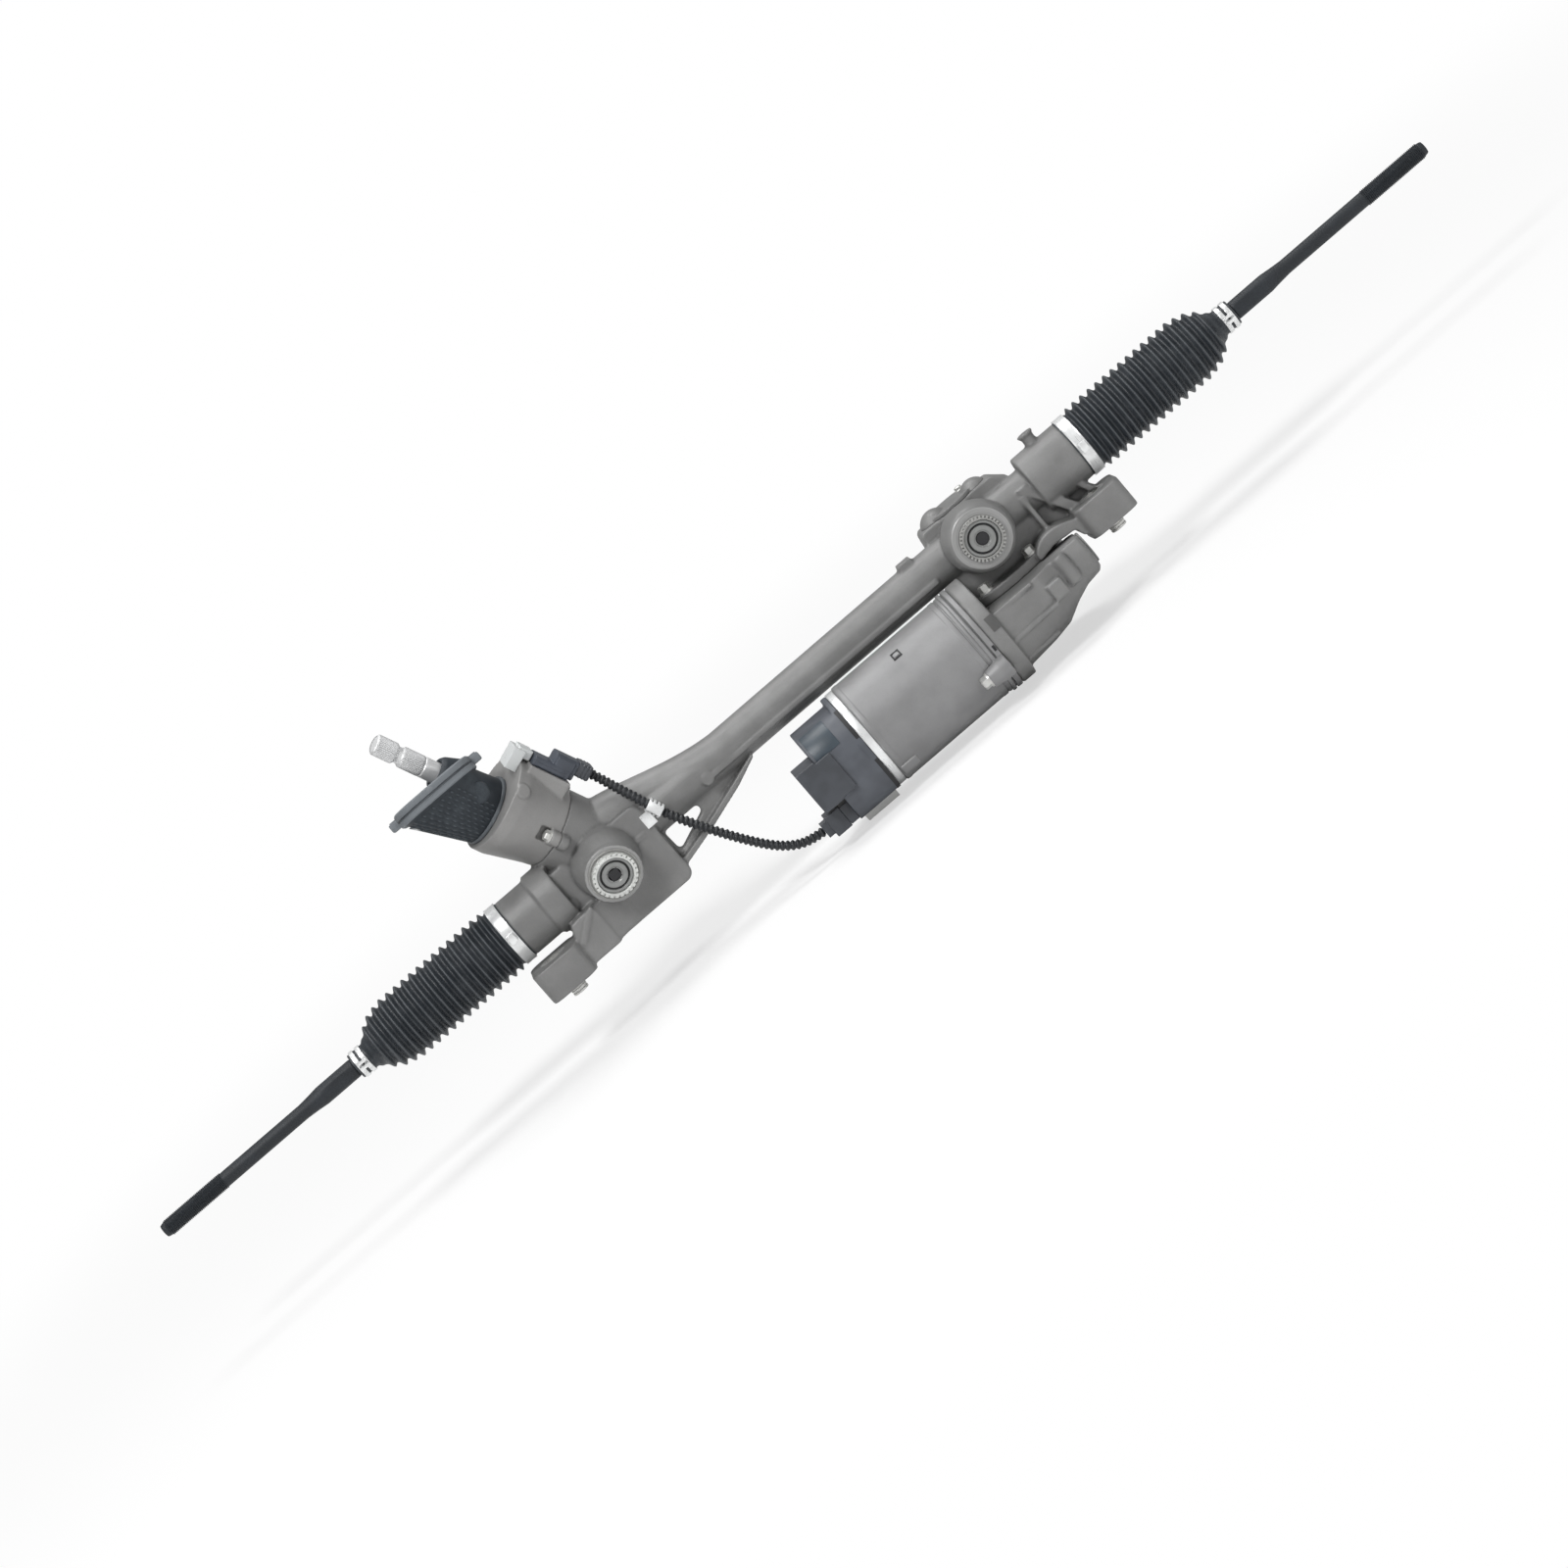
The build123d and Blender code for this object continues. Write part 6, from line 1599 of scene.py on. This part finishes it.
@dataclass
class YokePlugs:
    """The two adjusting plugs with their serrated lock rings."""

    face: float = 44.0
    ring_top: float = 48.4
    skirt_r: float = 20.8
    skirt_high: float = 1.3

    def build(self) -> None:
        """Makes each plug, the painted shade in its socket and collar groove, and its ring on its line."""
        plugs, sockets = [], []
        for name, line, teeth, wide, finish in (
            ("steer", STEER_YOKE, 26, 2.6, Palette.RING),
            ("drive", DRIVE_YOKE, 36, 1.5, Palette.MOTTLED),
        ):
            piece = Pieces.new("yoke_ring_" + name, self.ring(line, teeth, wide, finish), finish, 30)
            Pieces.place(piece, "housing", "steel", "yoke_lock_rings")
            plugs.append(self.plug(line))
            sockets.append(self.socket(line, name == "steer"))
        piece = Pieces.new("yoke_skirt_steer", self.skirt(STEER_YOKE), Palette.MOTTLED, 30)
        Pieces.place(piece, "housing", "steel", "yoke_lock_rings")
        piece = Pieces.new("yoke_plug_pair", Forms.joined(*plugs), Palette.PLUG, 30)
        Pieces.place(piece, "housing", "yoke", "yoke_plugs")
        # Painted shade: dark fillings in the plug sockets and the grooves round their collars.
        piece = Pieces.new("yoke_plug_socket_shade", Forms.joined(*sockets), Palette.DARK_AND_PAINTED_SHADE)
        Pieces.place(piece, "housing", "yoke")

    def ring(self, line: Line, teeth: int, wide: float, finish: Palette) -> bmesh.types.BMesh:
        """A lock ring with a crown of teeth over a sunken shoulder."""
        low, high = self.face + 0.1, self.ring_top
        outline = [(14.6, low), (18.1, low), (18.1, high - 2.4), (17.4, high - 2.0), (16.6, high - 2.0),
                   (16.2, high), (14.9, high), (14.6, high - 0.5)]
        ring = Forms.turned(line, outline, 96, 0.2, True)
        values = {"Teeth": teeth, "Circle": 17.1 * MM, "Deep": 1.9 * MM, "Wide": wide * MM, "High": 2.2 * MM,
                  "Material": finish.material}
        Pieces.graft(ring, line, high - 1.3, Tree.crown(), values)
        return ring

    def skirt(self, line: Line) -> bmesh.types.BMesh:
        """The duller flange round the steering plug's ring, with a shallow groove."""
        r, low = self.skirt_r, self.face + 0.1
        top = low + self.skirt_high
        outline = [(17.8, low), (r, low), (r + 0.2, low + 0.3), (r + 0.2, top - 0.4), (r - 0.2, top),
                   (19.6, top), (19.4, top - 0.5), (18.9, top - 0.5), (18.7, top), (17.8, top)]
        return Forms.turned(line, outline, 96, 0.12, True)

    def plug(self, line: Line) -> bmesh.types.BMesh:
        """A plug with a stepped face round a raised collar."""
        f = self.face
        outline = [(0, f - 12), (16.4, f - 12), (16.4, f), (14.3, f), (14.3, f + 2.6), (12.2, f + 2.6),
                   (11.8, f - 1.6), (10.6, f - 1.6), (10.4, f + 2.2), (6.8, f + 2.2), (6.2, f + 1.4),
                   (5.4, f + 1.4), (5.2, f - 8), (0, f - 8)]
        return Forms.turned(line, outline, 96, 0.35)

    def socket(self, line: Line, square: bool) -> bmesh.types.BMesh:
        """Painted shade: dark fillings in a plug's middle socket and in the groove round its collar."""
        f = self.face
        outline = [(10.7, f - 1.5), (11.7, f - 1.5), (11.7, f + 0.9), (10.7, f + 0.9)]
        groove = Forms.turned(line, outline, 96, 0.0, True)
        if square:
            middle = Forms.brick(line, (-4.4, -4.4, f - 6), (4.4, 4.4, f + 1.5), 0.3)
        else:
            middle = Forms.turned(line, [(0, f - 6), (5.1, f - 6), (5.1, f + 0.4), (0, f + 0.4)], 48, 0.2)
        return Forms.joined(groove, middle)


@dataclass
class MotorUnit:
    """Motor can, marks, seal, band and flange."""

    radius: float = 46.0
    start: float = 22.4
    end: float = 130.0
    mark_x: float = 77.5
    mark_turn: float = 54.8
    pad_x: float = 31.7
    pad_turn: float = -46.7
    seal_half_y: float = 43.3
    seal_half_z: float = 40.3
    seal_corner: float = 26.3
    seal_drop: float = -3.0

    def build(self) -> None:
        """Makes the can, painted shade over the flange's pocket and slot, the mark with the seal, the band
        and the flange.
        """
        piece = Pieces.new("motor_can", self.can(), Palette.CAN, 40)
        Pieces.place(piece, "housing", "can", "motor_housing")
        # Painted shade: a dark plate at the surface where the flange's pocket lies in shade.
        slot = Forms.brick(self.radial(148.5, 13.0), (-3.4, -6.5, 45.0), (3.4, 6.5, 47.75), 0.6)
        piece = Pieces.new("flange_pocket_painted_shade", slot, Palette.PAINTED_SHADE_CAST)
        Pieces.place(piece, "housing", "cast_aluminium")
        # Painted shade: a small dark patch at the surface where a slot in the flange lies in shade.
        slot_shade = Forms.brick(self.radial(137.3, -6.0), (-1.2, -2.6, 45.0), (1.2, 2.6, 47.7), 0.4)
        dark = Forms.joined(*self.mark_sides(), slot_shade, self.seal())
        piece = Pieces.new("motor_mark_seal_and_slot_shade", dark, Palette.DARK_AND_PAINTED_SHADE, 40)
        Pieces.place(piece, "housing", "connector_black")
        outline = [(41.0, 15.7), (45.0, 15.7), (45.0, 22.3), (41.0, 22.3)]
        band = Forms.turned(MOTOR_LINE, outline, 144, 0.7, True)
        piece = Pieces.new("motor_bright_band", band, Palette.BAND, 40)
        Pieces.place(piece, "housing", "band", "motor_band")
        flange = Pieces.cast("motor_flange_cast", Forms.of_node("motor_flange"), Palette.CAN, 0.65, 2)
        Pieces.place(flange, "housing", "cast_aluminium", "motor_flange")

    def can(self) -> bmesh.types.BMesh:
        """The can with its rolled edges, its lid, its pad and the square mark's middle."""
        r, start, end = self.radius, self.start, self.end
        outline = [(41.0, start), (r - 1.5, start), (r - 0.2, start + 1.2), (r, start + 3), (r, start + 5),
                   (r - 0.3, start + 5.6), (r - 0.3, end - 9), (r, end - 8.4), (r, end - 4.6),
                   (r - 0.7, end - 4.2), (r - 0.7, end - 3), (r, end - 2.6), (r, end), (41.0, end)]
        can = Forms.turned(MOTOR_LINE, outline, 144, 0.3, True)
        outline = [(11, start), (42, start), (42, start + 6), (11, start + 6)]
        lid = Forms.turned(MOTOR_LINE, outline, 72, 0.4, True)
        pad_line = self.radial(self.pad_x, self.pad_turn)
        pad = Forms.brick(pad_line, (-7.5, -5.5, r - 3), (7.5, 5.5, r + 0.9), 1.0)
        mark = self.radial(self.mark_x, self.mark_turn)
        pip = Forms.brick(mark, (-2.0, -2.0, r - 2), (2.0, 2.0, r + 0.55), 0.4)
        return Forms.joined(can, lid, pad, pip)

    def mark_sides(self) -> list[bmesh.types.BMesh]:
        """The four dark sides of the square mark on the can."""
        mark, low, high = self.radial(self.mark_x, self.mark_turn), self.radius - 2, self.radius + 0.3
        corners = (((-3.9, -3.9), (3.9, -2.6)), ((-3.9, 2.6), (3.9, 3.9)),
                   ((-3.9, -3.9), (-2.6, 3.9)), ((2.6, -3.9), (3.9, 3.9)))
        return [Forms.brick(mark, (*near, low), (*far, high), 0.2) for near, far in corners]

    def seal(self) -> bmesh.types.BMesh:
        """The dark seal under the cover, a rounded square."""
        corner = self.seal_corner
        outline = []
        for turn in range(0, 360, 6):
            x, y = math.cos(math.radians(turn)), math.sin(math.radians(turn))
            across = math.copysign(self.seal_half_y - corner, x) + corner * x
            upward = math.copysign(self.seal_half_z - corner, y) + corner * y
            outline.append((across, self.seal_drop + upward))
        return Forms.collar(MOTOR_LINE, outline, 12.2, 15.4)

    def radial(self, x: float, turn: float) -> Line:
        """A line straight out of the can, at a place along it and a turn up from the front."""
        angle = math.radians(turn)
        return Line((x, MOTOR_LINE.origin[1], 0.0), (0.0, -math.cos(angle), math.sin(angle)), RIGHT)


@dataclass
class ControlUnit:
    """The control unit's cover, heat sink and connectors on the motor's end."""

    corner_y: float = -34.1
    corner_z: float = 11.0
    corner_r: float = 26.0

    def build(self) -> None:
        """Softens the moulded pieces."""
        for node, finish, slot, voxel in (
            ("control_cover", Palette.COVER, "unit", 0.8),
            ("power_connector", Palette.BLACK, "connector_black", 0.55),
            ("signal_connector", Palette.BLACK, "connector_black", 0.5),
            ("control_plug", Palette.BLACK, "connector_black", 0.5),
            ("heat_sink", Palette.SINK, "can", 0.5),
        ):
            piece = Pieces.cast(node + "_moulded", Forms.of_node(node), finish, voxel, 2)
            Pieces.place(piece, "housing", slot, node)
        piece = Pieces.new("cover_panel", self.panel(), Palette.PANEL, 40)
        Pieces.place(piece, "housing", "unit")

    def panel(self) -> bmesh.types.BMesh:
        """A raised panel over the cover's upper front corner."""
        line = Line((0.0, self.corner_y, self.corner_z), RIGHT)
        turns = [math.radians(a) for a in range(12, 80, 4)]
        outer, inner = self.corner_r + 0.6, self.corner_r - 1.0
        outline = [(-outer * math.cos(a), outer * math.sin(a)) for a in turns]
        outline += [(-inner * math.cos(a), inner * math.sin(a)) for a in reversed(turns)]
        return Forms.plate(line, outline, -22.0, 1.0, 0.5)


class CadNodes:
    """The CAD nodes that stay: each gets its slot's finish."""

    def build(self) -> None:
        """Puts each node's finish in its object's slots."""
        for entry in frame["record"]["subparts"]:
            node = frame["nodes"].get(entry["node"])
            if node is None:
                continue
            finish = SLOT_FINISH[entry["material_slot"]]
            if not node.material_slots:
                node.data.materials.append(None)
            for place in node.material_slots:
                place.link = "OBJECT"
                place.material = finish.material
            LOG.info("%s finished as %s", entry["node"], finish.value.name)


def main() -> None:
    """Builds every sub-assembly in order."""
    logging.basicConfig(level=logging.INFO, format="%(name)s: %(message)s")
    Studio().build()
    SensorLead().build()
    CadNodes().build()
    RackCasting().build()
    SmallCastings().build()
    for name, side, end_x, _ in ENDS:
        Bellows(name, side, end_x).build()
    for name, side, _, ball_x in ENDS:
        TieRod(name, side, ball_x).build()
    for sub_assembly in (
        Clamps, InputShaft, BulkheadSeal, SensorHead, YokePlugs, MotorUnit, ControlUnit, Fixings,
    ):
        sub_assembly().build()
    LOG.info("%d pieces made", len(Pieces.made))


if __name__ == "__main__":
    main()
